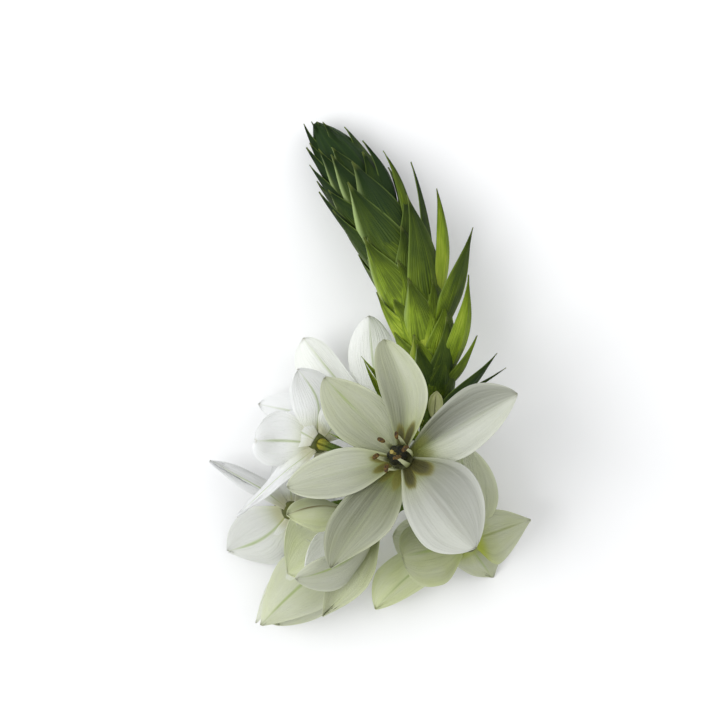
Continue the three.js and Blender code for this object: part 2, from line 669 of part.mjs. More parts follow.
// The closed young bud in the axil of the lowest bract
function youngBudGeometry() {
  const foot = vector(BUD.foot);
  const axis = vector(BUD.tip).sub(foot);
  const length = axis.length();
  const profile = [
    [0, 0],
    [0.3 * BUD.width, 0],
    [0.5 * BUD.width, 0.4 * length],
    [0.42 * BUD.width, 0.75 * length],
    [0, length],
  ];
  return alongAxis(lathe(profile, 8), axis.normalize());
}

// The main stem with its flower stalks, the spike's core and all bracts
function stemGeometry() {
  const path = new THREE.CatmullRomCurve3([
    CUT_END,
    new THREE.Vector3(10.7, -20, 18.5),
    new THREE.Vector3(10.6, -11, 18.4),
    SPIKE.getPoint(0.03),
  ]);
  return fuse([
    tube(path, STEM_RADIUS, 10, 8),
    spikeCore(),
    ...FLOWERS.flatMap(pedicel),
    ...STANDING_BRACTS.map(standingBract),
    ...pressedBracts(),
    ...STALK_BRACTS.map(stalkBract),
    budStalk(),
  ]);
}

function part(name, geometry, look, place) {
  const mesh = new THREE.Mesh(geometry, new THREE.MeshStandardMaterial(look));
  mesh.name = name;
  mesh.position.copy(place);
  return mesh;
}

const head = new THREE.Group();
head.position.copy(HEAD_MIDDLE).negate();
head.add(part("flower_stem", stemGeometry(), GREEN, new THREE.Vector3()));
for (const flower of FLOWERS) {
  const hub = vector(flower.hub);
  head.add(part(flower.name + "_tepals", tepalsGeometry(flower), WHITE, hub));
  head.add(part(flower.name + "_stamens", stamensGeometry(flower), BROWN, hub));
  head.add(part(flower.name + "_pistil", pistilGeometry(flower), DARK, hub));
}

head.add(part("young_bud", youngBudGeometry(), PALE, vector(BUD.foot)));

export default head;
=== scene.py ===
"""Cut flower head of a white ornithogalum, lying on its back, seen from above."""

import math
from types import SimpleNamespace

import bpy
import numpy as np
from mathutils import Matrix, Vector


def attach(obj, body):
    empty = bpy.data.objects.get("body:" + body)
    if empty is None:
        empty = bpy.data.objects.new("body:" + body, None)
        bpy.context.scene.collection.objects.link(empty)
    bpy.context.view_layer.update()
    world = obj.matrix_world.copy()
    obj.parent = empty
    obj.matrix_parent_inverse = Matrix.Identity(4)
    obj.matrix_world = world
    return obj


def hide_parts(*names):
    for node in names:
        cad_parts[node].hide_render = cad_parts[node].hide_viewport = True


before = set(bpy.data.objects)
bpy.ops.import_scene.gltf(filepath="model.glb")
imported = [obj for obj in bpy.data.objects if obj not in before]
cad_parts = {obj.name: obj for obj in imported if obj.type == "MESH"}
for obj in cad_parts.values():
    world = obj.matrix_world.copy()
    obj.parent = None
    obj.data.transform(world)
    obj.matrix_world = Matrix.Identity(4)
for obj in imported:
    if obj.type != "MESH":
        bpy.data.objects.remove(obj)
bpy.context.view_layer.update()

MM = 0.001
# The part's origin in the plane that the tables below are written in
HEAD_MIDDLE = np.array([0.05, -0.34, 1.27])

# Lengths in mm, angles in degrees
TEPAL_THICKNESS = 0.34
TEPAL_FOOT_RADIUS = 1.35
OUTER_TEPAL_LIFT = 0.15
INNER_TEPAL_LIFT = -0.65
BRACT_THICKNESS = 0.26
STEM_RADIUS = 2.2
PEDICEL_RADIUS = 0.8
PEDICEL_SWELLING = 0.2
SWELLING_LENGTH = 2.4
BUD_STALK_RADIUS = 0.6
CUP_RADIUS = 1.8
CUP_FOOT_RADIUS = 1.15
CUP_TOP_RADIUS = 0.8
CUP_TOP = 1.1
CUP_DEPTH = 1.0
PLATE_THICKNESS = 0.4
PLATE_MARGIN = 0.3
SEAT_GAP = 0.3
FILAMENTS = 6
FIRST_FILAMENT_ANGLE = 12
FILAMENT_LENGTH = 5.8
FILAMENT_THICKNESS = 0.36
FILAMENT_FOOT_WIDTH = 1.0
FILAMENT_TAPER = 0.62
FILAMENT_BOW = 0.4
ANTHER_LENGTHS = (1.35, 1.7)
ANTHER_RADII = (0.34, 0.42)
# Anthers that stand further out than this lie along the radius
OPEN_SPREAD = 2.2
OVARY_HEIGHT = 3.0
OVARY_INSET = 0.68
STYLE_LENGTH = 1.9
STYLE_RADIUS = 0.26
STIGMA_RADIUS = 0.42


def unit(v):
    """Directions at unit length."""
    return v / np.linalg.norm(v, axis=-1, keepdims=True)


def lerp(a, b, share):
    return a + (b - a) * share


def smooth(edge0, edge1, x):
    t = np.clip((x - edge0) / (edge1 - edge0), 0, 1)
    return t * t * (3 - 2 * t)


def bezier(points, t):
    """Points of a cubic curve at each value of the array t."""
    t = t[..., None]
    a, b, c, d = points
    return (1 - t) ** 3 * a + 3 * t * (1 - t) ** 2 * b + 3 * t * t * (1 - t) * c + t**3 * d


def cross_axes(axis):
    """Two directions across an axis."""
    steep = abs(axis[2]) > 0.8
    start = np.array([1.0, 0, 0]) if steep else np.array([0, 0, 1.0])
    first = unit(start - axis * np.dot(start, axis))
    return first, np.cross(axis, first)


# A flower's hub is the middle of its receptacle and its axis the way it faces. stalk: where its
# pedicel leaves the stem and the point it heads for. spread: how far out each anther stands.
# plate: radius of the disc under its filaments. foot: width of a tepal's base over its greatest.
# Each tepal, outer and inner ones in turn, has five lists:
#   x, y and z of its tip from the hub
#   bow, bulge, cup, twist in degrees, sway
#   first margin, the one towards axis x radial: half width, where it is widest (share of the
#   length) and bluntness (0 tapers straight to the tip, 1 is round)
#   second margin, in the same way
#   how green its white is (partly its own tint, partly painted: the green-grey of a tepal in shade),
#   how much painted shade darkens its first and second half, how strong the marks at its base,
#   how dark its rib near the tip
FLOWERS = [
    dict(
        name="front_flower",
        hub=[5.6, -14.6, 29],
        axis=[-0.3, 0.18, 1],
        tepals=[
            ([-3.2, 20.1, -1], [1.6, 0, 0.25, 0, -2.4],
             [3.95, 0.62, 0.8], [4.1, 0.56, 0.7], [0.62, 0.7, 0.38, 0.85, 0]),
            ([-13.3, 13.7, -2.5], [1, 0, 0.15, 0, 0],
             [5.25, 0.57, 0.6], [4.6, 0.5, 0.2], [0.62, 0.54, 0.5, 0.12, 0.85]),
            ([-19.6, -4.9, -1], [1.6, 0, 0.2, 0, 0],
             [4.25, 0.57, 0.5], [4.05, 0.55, 0.5], [0.5, 0.5, 0.43, 0.62, 0]),
            ([-12.2, -18.5, 3], [0.6, 0, 0.2, 0, 0],
             [5.45, 0.52, -0.15], [4.9, 0.66, 0.45], [0.62, 0.66, 0.78, 0.5, 0]),
            ([12.1, -15, 8], [1.8, 0, 0.2, 0, 0],
             [7.9, 0.55, 0.5], [6.4, 0.68, 0.6], [0.2, 0.66, 0.44, 1, 0]),
            ([19.2, 10.9, 6.5], [0.8, 0, 0.2, 0, 0],
             [5.1, 0.68, 0.5], [5.5, 0.5, 0.25], [0.3, 0.8, 0.36, 0.38, 0]),
        ],
        stalk=[[10.7, -20, 18.5], [10, -19, 23]],
        spread=[2.3, 2.9, 2.9, 2.9, 2.9, 1.3], plate=2.5, foot=0.22,
    ),
    dict(
        name="left_flower",
        hub=[-8.8, -12.1, 17],
        axis=[-0.45, 0.15, -0.88],
        tepals=[
            ([-3.5, 12.6, 3], [2, 0, 0.2, 0, 2.2],
             [4.2, 0.6, 0.5], [4.3, 0.5, 0.4], [0, 0, 0, 0.3, 0]),
            ([-7.6, 3.9, -5.2], [-1.5, 1.5, 0.2, 0, 0],
             [3.5, 0.6, 0.5], [3.5, 0.6, 0.5], [0, 0, 0, 0.2, 0]),
            ([-10.7, 0.4, 4], [2.5, 0, 0.2, 0, 0],
             [4.9, 0.52, 0.8], [4.5, 0.6, 0.8], [0, 0, 0, 0.3, 0]),
            ([-13.9, -12.6, 1], [1, 0, 0.1, 105, 0],
             [2.4, 0.5, 0.3], [1.6, 0.5, 0.3], [0, 0, 0, 0.3, 0]),
            ([5, -8, -3], [1, 0, 0.2, 0, 0],
             [4, 0.6, 0.6], [4, 0.6, 0.6], [0, 0.1, 0.1, 0.3, 0]),
            ([7, 8, -0.5], [1, 0, 0.2, 0, 0],
             [4, 0.6, 0.6], [4, 0.6, 0.6], [0, 0.05, 0.05, 0.3, 0]),
        ],
        stalk=[[10.7, -17.5, 18.5], [4, -17.5, 19]],
        spread=[2.5] * 6, plate=2.2, foot=0.35,
    ),
    dict(
        name="lower_left_flower",
        hub=[-13.3, -23.8, 12.5],
        axis=[-0.1, 0.05, -1],
        tepals=[
            ([-11.1, -7, -9], [1, 0, 0.2, 0, -1.3],
             [5.5, 0.52, 0.45], [5.2, 0.6, 0.3], [0.12, 0.28, 0.18, 0.3, 0.3]),
            ([-14.2, 8.5, -7], [1, 0, 0.2, 40, 0.4],
             [2.4, 0.5, 0.5], [1.5, 0.6, 0.5], [0, 0.22, 0.2, 0.3, 0]),
            ([-1.2, 10, -11], [1, 0, 0.2, 0, 0],
             [3.2, 0.6, 0.6], [3, 0.6, 0.6], [0, 0.1, 0.1, 0.3, 0]),
            ([6.8, 4.5, -11], [1, 0, 0.2, 0, 0],
             [4, 0.6, 0.6], [4, 0.6, 0.6], [0, 0.1, 0.1, 0.3, 0]),
            ([9, -5.5, -10.5], [1, 0, 0.2, 0, 0],
             [4, 0.6, 0.6], [4, 0.6, 0.6], [0, 0.1, 0.1, 0.3, 0]),
            ([0, -10.5, -11], [1, 0, 0.2, 0, 0],
             [4, 0.6, 0.6], [4, 0.6, 0.6], [0, 0.1, 0.1, 0.3, 0]),
        ],
        stalk=[[10.7, -21, 18.2], [3, -20.5, 12]],
        spread=[2] * 6, plate=1.75, foot=0.35,
    ),
    dict(
        name="half_open_flower",
        hub=[0.2, -26.4, 21.5],
        axis=[-0.86, -0.42, 0.3],
        tepals=[
            ([-14.3, 2.2, 6], [0, 4, 0.4, -70, 0],
             [2.4, 0.6, 0.6], [3.7, 0.6, 0.6], [0.85, 0.5, 0.3, 1, 0.8]),
            ([-14.2, -8, -3.5], [0, 4, 0.6, 0, -1.5],
             [4.5, 0.6, 0.6], [7, 0.62, 0.8], [0.7, 0.1, 0.1, 0.2, 0]),
            ([-12.8, -8.5, 8], [0, 3, 0.3, 0, -1],
             [2.4, 0.6, 0.4], [5.6, 0.6, 0.5], [0.5, 0.45, 0.45, 0.2, 0.4]),
            ([-8.3, -15.1, 0], [0, 2, 0.3, -75, 0],
             [3.1, 0.5, -0.2], [4, 0.5, 0.2], [0.75, 0.3, 0.5, 0.2, 0]),
            ([-11.2, -7.2, 1], [0, 3, 0.6, 0, 0],
             [4.2, 0.6, 0.5], [4.2, 0.6, 0.5], [0.1, 0, 0, 0.1, 0]),
            ([-13, 0, -3], [0, 4, 0.6, 0, 0],
             [4.5, 0.6, 0.5], [4.5, 0.6, 0.5], [0.5, 0.3, 0.3, 0.2, 0]),
        ],
        stalk=[[10.7, -20, 18.5], [6, -20.5, 20]],
        spread=[1.3] * 6, plate=1.25, foot=0.35,
    ),
    dict(
        name="back_flower",
        hub=[3.1, -10.2, 12.5],
        axis=[0, 0.1, -1],
        tepals=[
            ([-3.3, 19.8, -2], [1, 0, 0.2, 0, -0.6],
             [4.2, 0.6, 0.6], [4.2, 0.65, 0.6], [0.08, 0, 0, 0.3, 0]),
            ([8.8, 9.7, -5], [1, 0, 0.2, 0, 0],
             [4.3, 0.6, 0.6], [4.3, 0.6, 0.6], [0, 0.05, 0.05, 0.3, 0]),
            ([12.2, -3.1, -5], [1, 0, 0.2, 0, 0],
             [4.3, 0.6, 0.6], [4.3, 0.6, 0.6], [0, 0.05, 0.05, 0.3, 0]),
            ([2, -12, -4], [1, 0, 0.2, 0, 0],
             [4.3, 0.6, 0.6], [4.3, 0.6, 0.6], [0, 0.05, 0.05, 0.3, 0]),
            ([-22.2, 4.7, -6.5], [1.2, 0, 0.2, 0, 0],
             [3.6, 0.6, 0.6], [3.6, 0.6, 0.6], [0, 0, 0, 0.3, 0]),
            ([-14.5, 16, -2.6], [0.4, 0, 0.2, 0, -0.5],
             [2.5, 0.8, 0.6], [4.8, 0.78, 0.9], [0.1, 0, 0, 0.3, 0]),
        ],
        stalk=[[10.7, -11, 18.5], [6.5, -11, 18.5]],
        spread=[3] * 6, plate=2.2, foot=0.35,
    ),
    dict(
        name="closed_flower",
        hub=[-3.1, -30.6, 9.5],
        axis=[-0.72, -0.69, -0.1],
        tepals=[
            ([-15.5, -12.7, 3], [0, 5, 0.35, 0, 0],
             [6.6, 0.5, 0.05], [5, 0.5, 0.05], [0.6, 0.2, 0.3, 0.1, 0.4]),
            ([-16.4, -12.4, -1], [0, 9, 0.5, 0, 0],
             [4.5, 0.6, 0.4], [3.3, 0.6, 0.4], [0.4, 0.1, 0.15, 0.1, 0]),
            ([-14.5, -12.5, -4], [0, 4, 0.5, 0, 0],
             [4.5, 0.6, 0.4], [4.5, 0.6, 0.4], [0.7, 0.3, 0.3, 0.1, 0]),
            ([-13.3, -12.8, -4], [0, 4, 0.5, 0, 0],
             [4.5, 0.6, 0.4], [4.5, 0.6, 0.4], [0.7, 0.3, 0.3, 0.1, 0]),
            ([-12.2, -12.8, -1], [0, 4, 0.5, 0, 0],
             [4.5, 0.6, 0.4], [4.5, 0.6, 0.4], [0.7, 0.3, 0.3, 0.1, 0]),
            ([-12.5, -12.6, 2], [0, 3, 0.5, 0, 0],
             [4.5, 0.6, 0.4], [4.5, 0.6, 0.4], [0.6, 0.3, 0.3, 0.1, 0]),
        ],
        stalk=[[10.7, -22, 18], [4, -21.5, 11]],
        spread=[0.9] * 6, plate=1.2, foot=0.35,
    ),
    dict(
        name="right_flower",
        hub=[16.7, -29.1, 12.8],
        axis=[0.1, -0.1, -1],
        tepals=[
            ([-1.1, 16.6, -4], [1, 0, 0.2, 0, 0],
             [5.7, 0.47, 0.6], [5, 0.6, 0.6], [0.6, 0.38, 0.38, 0.3, 0]),
            ([10.8, 3.8, -3], [1, 0, 0.2, 0, 0],
             [5.3, 0.3, -0.2], [4.1, 0.45, 0], [0.7, 0.4, 0.4, 0.95, 0]),
            ([4.4, -6.3, -11.3], [1, 0, 0.2, 0, 0],
             [4, 0.35, 0], [3.6, 0.5, 0.3], [0.75, 0.35, 0.45, 0.9, 0]),
            ([-11.2, -2.4, 3], [1, 0, 0.2, 0, 0],
             [5.2, 0.6, 1.1], [6.1, 0.5, 1.1], [0.85, 0.42, 0.42, 0.3, 0]),
            ([-15.8, -11.6, -6], [1, 0, 0.2, 0, 1.3],
             [4.6, 0.78, 0.6], [3.1, 0.5, 0.3], [0.8, 0, 0.1, 0.2, 0]),
            ([-12.7, 1, -8], [1, 0, 0.2, 0, 0],
             [4, 0.6, 0.8], [4.2, 0.7, 1], [0.6, 0.2, 0.2, 0.2, 0]),
        ],
        stalk=[[10.8, -25.5, 18.5], [13, -29.5, 17.5]],
        spread=[1.8] * 6, plate=1.55, foot=0.35,
    ),
]

SPIKE = np.array([[10.5, -3.9, 18], [10.9, 9.7, 16.5], [2.6, 26.6, 7.3], [-9.4, 42.7, 5.0]])
SPIKE_LENGTH = 52
SPIKE_FOOT_REACH = 2.6
SPIKE_LOWER_REACH = 5.3
SPIKE_FULL_REACH = 6.1
# Shares of the spike's length where it has swelled, where its end starts to round and where it ends
SPIKE_SWELLED = 0.3
SPIKE_ROUNDING = 0.72
SPIKE_END = 1.005
CUT_END = [11.2, -27.6, 18]
STEM_BENDS = [[10.7, -20, 18.5], [10.6, -11, 18.4]]
STEM_TOP_SHARE = 0.03

# No bract's foot lies below this share of the spike's length
LOWEST_FOOT = -0.072
ROOT_DEPTH = 0.5
FOOT_REACH = 4
SHORTEST_RISE = 4
# How far the tips of the close bracts stand off the spike
TIP_STANDOFF = 0.7

# Tip x and y, width, length, the angle towards the viewer for those that spread, sideways bend,
# how early they bend away (0 for those that hug the spike), turn of the face, darkness
STANDING_BRACTS = [
    [-3.8, 32.4, 10, 21, 0, -0.5, 0, 0, 0.05],
    [-3.1, 36, 10, 20, 0, 0, 0, 0, 0.15],
    [6.4, 30, 8, 21, 56, 0.4, 0, 0, 0.05],
    [-1.1, 23.1, 10, 19, 0, -0.5, 0, 0, -0.08],
    [6.4, 16.2, 9, 17, 0, -0.4, 0, 0, 0.08],
    [1.5, 12.8, 9, 15, 0, -0.5, 0, 0, -0.15],
    [7.9, 4.9, 6, 12, 0, 0, 0, 0, 0.3],
    [13, 9.2, 6.5, 14, 58, 0.4, 0, 0, 0.3],
    [17.4, 24.7, 5.2, 18, 38, -0.9, 0.5, 15, 0.15],
    [11.3, 31.4, 4, 19, 25, 0.3, 0.55, 30, -0.32],
    [7, 35.9, 4.2, 20, 22, 1.2, 0, 0, 0.15],
    [2.2, 37.9, 3.8, 15, 30, 1, 0, 0, -0.25],
    [-1.3, 39.6, 3.6, 13, 45, 1, 0, 0, 0.3],
    [16.7, 16.6, 5.2, 18, 35, -0.3, 0.62, 10, -0.05],
    [18.2, 6.3, 3.4, 11, 25, 0, 0.5, 10, 0],
    [21.5, 3.3, 4, 15, 35, -0.8, 0.5, 15, 0.35],
    [23.1, 0.5, 1.5, 12, 10, -1.5, 0.5, 60, 0.3],
    [14.3, 1, 8, 12, 0, 0, 0, 0, 0.15],
    [-6.8, 37.4, 6, 15, 0, -0.4, 0, 0, 0.1],
    [-8.8, 38.2, 5.5, 14, 0, -0.4, 0, 0, 0.1],
    [-10.9, 38.6, 5, 13, 0, 0, 0, 0, 0.1],
    [-10.4, 35.6, 5.5, 15, 0, 0, 0, 0, 0.1],
    [-8.8, 30.9, 6, 16, 0, 0, 0, 0, 0.1],
    [-6.3, 27.7, 6, 16, 0, 0, 0, 0, 0.1],
    [-8.2, 43, 4.5, 11, 0, 0, 0, 0, 0.1],
    [-10, 42.9, 4, 10, 0, 0, 0, 0, 0.1],
    [-11.3, 42.6, 3.6, 9, 0, 0, 0, 0, 0.1],
    [10.5, 15.8, 7, 12, 0, 0, 0, 0, 0.08],
    [12.6, 12, 7, 11, 50, 0, 0, 0, 0.1],
    [12.6, 3.4, 8, 10, 0, 0, 0, 0, 0.2],
]
PRESSED_BRACTS = 46
GOLDEN_ANGLE = 137.5
# Foot, bend, tip and width
STALK_BRACTS = [
    [[9.2, -9, 19.5], [3, -3, 22], [-1.5, 2.7, 23.5], 1.8],
    [[9.2, -12, 19.5], [1.5, -4.5, 23], [-1, 1.9, 25], 2],
    [[9.2, -17, 20], [0, -13.5, 22], [-7, -10.4, 22.5], 1.6],
]
# Where its stalk leaves the stem, its own foot and tip, its width
BUD = dict(stalk=[10.7, -9.5, 18], foot=[11, -7.6, 21.8], tip=[11.3, -3.2, 24.2], width=2.7)


# Meshes


class Piece:
    """Gathers closed surfaces with their point values into one mesh."""

    VALUES = ("along", "across", "outer", "green", "shade", "seed", "kind", "blotch", "share")

    def __init__(self):
        self.points, self.faces, self.values, self.count = [], [], [], 0

    def add(self, points, faces, **values):
        self.points.append(points)
        self.faces.append(np.asarray(faces) + self.count)
        columns = [np.broadcast_to(values.get(n, 0.0), (len(points),)) for n in self.VALUES]
        self.values.append(np.stack(columns, 1))
        self.count += len(points)

    def finish(self, name, material, slot, *nodes):
        points = (np.concatenate(self.points) - HEAD_MIDDLE) * MM
        faces = np.concatenate(self.faces)
        values = np.concatenate(self.values)
        mesh = bpy.data.meshes.new(name)
        mesh.from_pydata(points.tolist(), [], faces.tolist())
        for k, value in enumerate(self.VALUES):
            if value in material["values"]:
                layer = mesh.attributes.new(value, "FLOAT", "POINT")
                layer.data.foreach_set("value", np.ascontiguousarray(values[:, k], np.float32))
        mesh.shade_smooth()
        mesh.materials.append(material["material"])
        piece = bpy.data.objects.new(name, mesh)
        bpy.context.scene.collection.objects.link(piece)
        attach(piece, "root")
        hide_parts(*nodes)


def grid_faces(rows, columns, start=0):
    i, j = np.meshgrid(np.arange(rows), np.arange(columns), indexing="ij")
    a = (start + i * (columns + 1) + j).ravel()
    return np.stack([a, a + columns + 1, a + columns + 2, a + 1], 1)


def ring_faces(rings, sides):
    """Faces between each ring of points and the next."""
    k = np.arange(sides)
    n = (k + 1) % sides
    bands = [np.stack([i + k, i + n, i + sides + n, i + sides + k], 1)
             for i in range(0, (rings - 1) * sides, sides)]
    return np.concatenate(bands)


def add_rings(piece, points, **values):
    """A body from rings of points, rings x sides x 3, that are closed to a point at both ends."""
    rings, sides = points.shape[:2]
    along = np.repeat(np.linspace(0, 1, rings), sides)
    across = np.tile(np.linspace(-1, 1, sides, endpoint=False), rings)
    piece.add(points.reshape(-1, 3), ring_faces(rings, sides), along=along, across=across, **values)


def round_angles(sides):
    return np.linspace(0, 2 * math.pi, sides, endpoint=False)


def blade(piece, middle, rows, columns, thickness, **values):
    """A closed blade round middle(u, v), thin at its margins; values may be functions of u and v."""
    s = np.linspace(0, 1, rows + 1)
    closer_to_tip = s * (1.25 - 0.25 * s)
    closer_to_margins = np.sin(np.linspace(-1, 1, columns + 1) * math.pi / 2)
    u, v = np.meshgrid(closer_to_tip, closer_to_margins, indexing="ij")
    step = 1e-3
    along = middle(u + step, v) - middle(u - step, v)
    across = middle(u, v + step) - middle(u, v - step)
    normal = unit(np.cross(along, across))
    margin_thinning, tip_thinning = 0.72, 0.5
    thick = 0.5 * thickness * (1 - margin_thinning * np.abs(v) ** 5)
    thick = thick * (1 - tip_thinning * smooth(0.85, 1, u))
    points = middle(u, v)
    front = points + normal * thick[..., None]
    back = points - normal * thick[..., None]
    n = (rows + 1) * (columns + 1)
    place = np.arange(n).reshape(rows + 1, columns + 1)
    ring = np.concatenate([place[0, :-1], place[:-1, -1], place[-1, :0:-1], place[:0:-1, 0]])
    after = np.roll(ring, -1)
    faces = [grid_faces(rows, columns), grid_faces(rows, columns, n)[:, ::-1],
             np.stack([ring, after, after + n, ring + n], 1)]
    outer = np.concatenate([np.zeros(n), np.ones(n)])
    told = dict(along=np.tile(u.ravel(), 2), across=np.tile(v.ravel(), 2), outer=outer)
    for key, value in values.items():
        told[key] = np.tile(value(u, v).ravel(), 2) if callable(value) else value
    piece.add(np.concatenate([front.reshape(-1, 3), back.reshape(-1, 3)]), np.concatenate(faces), **told)


def turned_about(side, axis, angle):
    """side turned about axis (both arrays of directions) by angle."""
    c, s = np.cos(angle)[..., None], np.sin(angle)[..., None]
    dot = (axis * side).sum(-1, keepdims=True)
    return side * c + np.cross(axis, side) * s + axis * dot * (1 - c)


def leaf_middle(foot, knee, tip, side, half_width, cup=0.0, twist=0.0, sway=0.0, relief=None):
    """The middle surface of a blade bent along foot, knee and tip, with its half width in mm.
    relief(u, v) raises it in mm. 0.4 of the twist is there at the foot already."""

    def middle(u, v):
        w = u[..., None]
        point = (1 - w) ** 2 * foot + 2 * w * (1 - w) * knee + w**2 * tip
        tangent = unit(lerp(knee - foot, tip - knee, w))
        turned = turned_about(np.broadcast_to(side, tangent.shape), tangent,
                              np.radians(twist * (0.4 + 0.6 * u)))
        normal = unit(np.cross(tangent, turned))
        held = np.clip(u, 0, 1)
        half = half_width(held, v)
        sideways = half * v + sway * np.sin(math.pi * held)
        upwards = half * cup * v * v
        if relief:
            upwards = upwards + relief(u, v)
        return point + turned * sideways[..., None] + normal * upwards[..., None]

    return middle


def margin(u, foot, half, widest, blunt):
    """Half width of a tepal along one margin; foot is the share of it at the base."""
    point = 0.04
    low = foot + (1 - foot) * np.sin(math.pi / 2 * np.clip(u / widest, 0, 1)) ** 1.15
    t = np.clip((u - widest) / (1 - widest), 0, 1)
    high = point + (1 - point) * (1 - t ** (1.6 + 0.8 * blunt)) ** (1 - 0.5 * blunt)
    return half * np.where(u < widest, low, high)


def bract_outline(u):
    """Half width of a bract over half its greatest width: broad below, drawn out to a slender tip."""
    widest, foot, point = 0.38, 0.5, 0.03
    low = foot + (1 - foot) * np.sin(math.pi / 2 * np.clip(u / widest, 0, 1))
    t = np.clip((u - widest) / (1 - widest), 0, 1)
    return np.where(u < widest, low, point + (1 - point) * (1 - t) ** 1.5 * (1 + 0.9 * t))


def lathe(piece, profile, axis, origin, sides=28, flute=0.0, flutes=3, **values):
    """A closed turned body from radius and height pairs, its corners rounded; flute deepens
    grooves round it."""
    steps = 6
    profile = np.array(profile, float)
    corners = np.arange(len(profile))
    t = np.linspace(0, corners[-1], corners[-1] * steps + 1)
    r, h = (np.interp(t, corners, column) for column in profile.T)
    kernel = np.array([0.25, 0.5, 0.25])
    for _ in range(steps):
        r[1:-1] = np.convolve(r, kernel, "valid")
        h[1:-1] = np.convolve(h, kernel, "valid")
    r = np.maximum(r, 0)
    first, second = cross_axes(axis)
    angle = round_angles(sides)
    groove = 1 + flute * (np.abs(np.cos(angle * flutes / 2)) - 0.6)
    reach = r[:, None] * groove
    points = origin + axis * h[:, None, None] + first * (reach * np.cos(angle))[..., None] \
        + second * (reach * np.sin(angle))[..., None]
    add_rings(piece, points, **values)


def tube(piece, line, radii, sides=18, **values):
    """A closed tube along line (n x 3) with a radius at each point."""
    tangent = unit(np.gradient(line, axis=0))
    first = cross_axes(tangent[0])[0]
    angle = round_angles(sides)[:, None]
    rings = []
    for k in range(len(line)):
        first = unit(first - tangent[k] * np.dot(tangent[k], first))
        second = np.cross(tangent[k], first)
        rings.append(line[k] + radii[k] * (np.cos(angle) * first + np.sin(angle) * second))
    ends = line[[0, -1], None].repeat(sides, 1)
    add_rings(piece, np.stack([ends[0], *rings, ends[1]]), **values)


# Materials


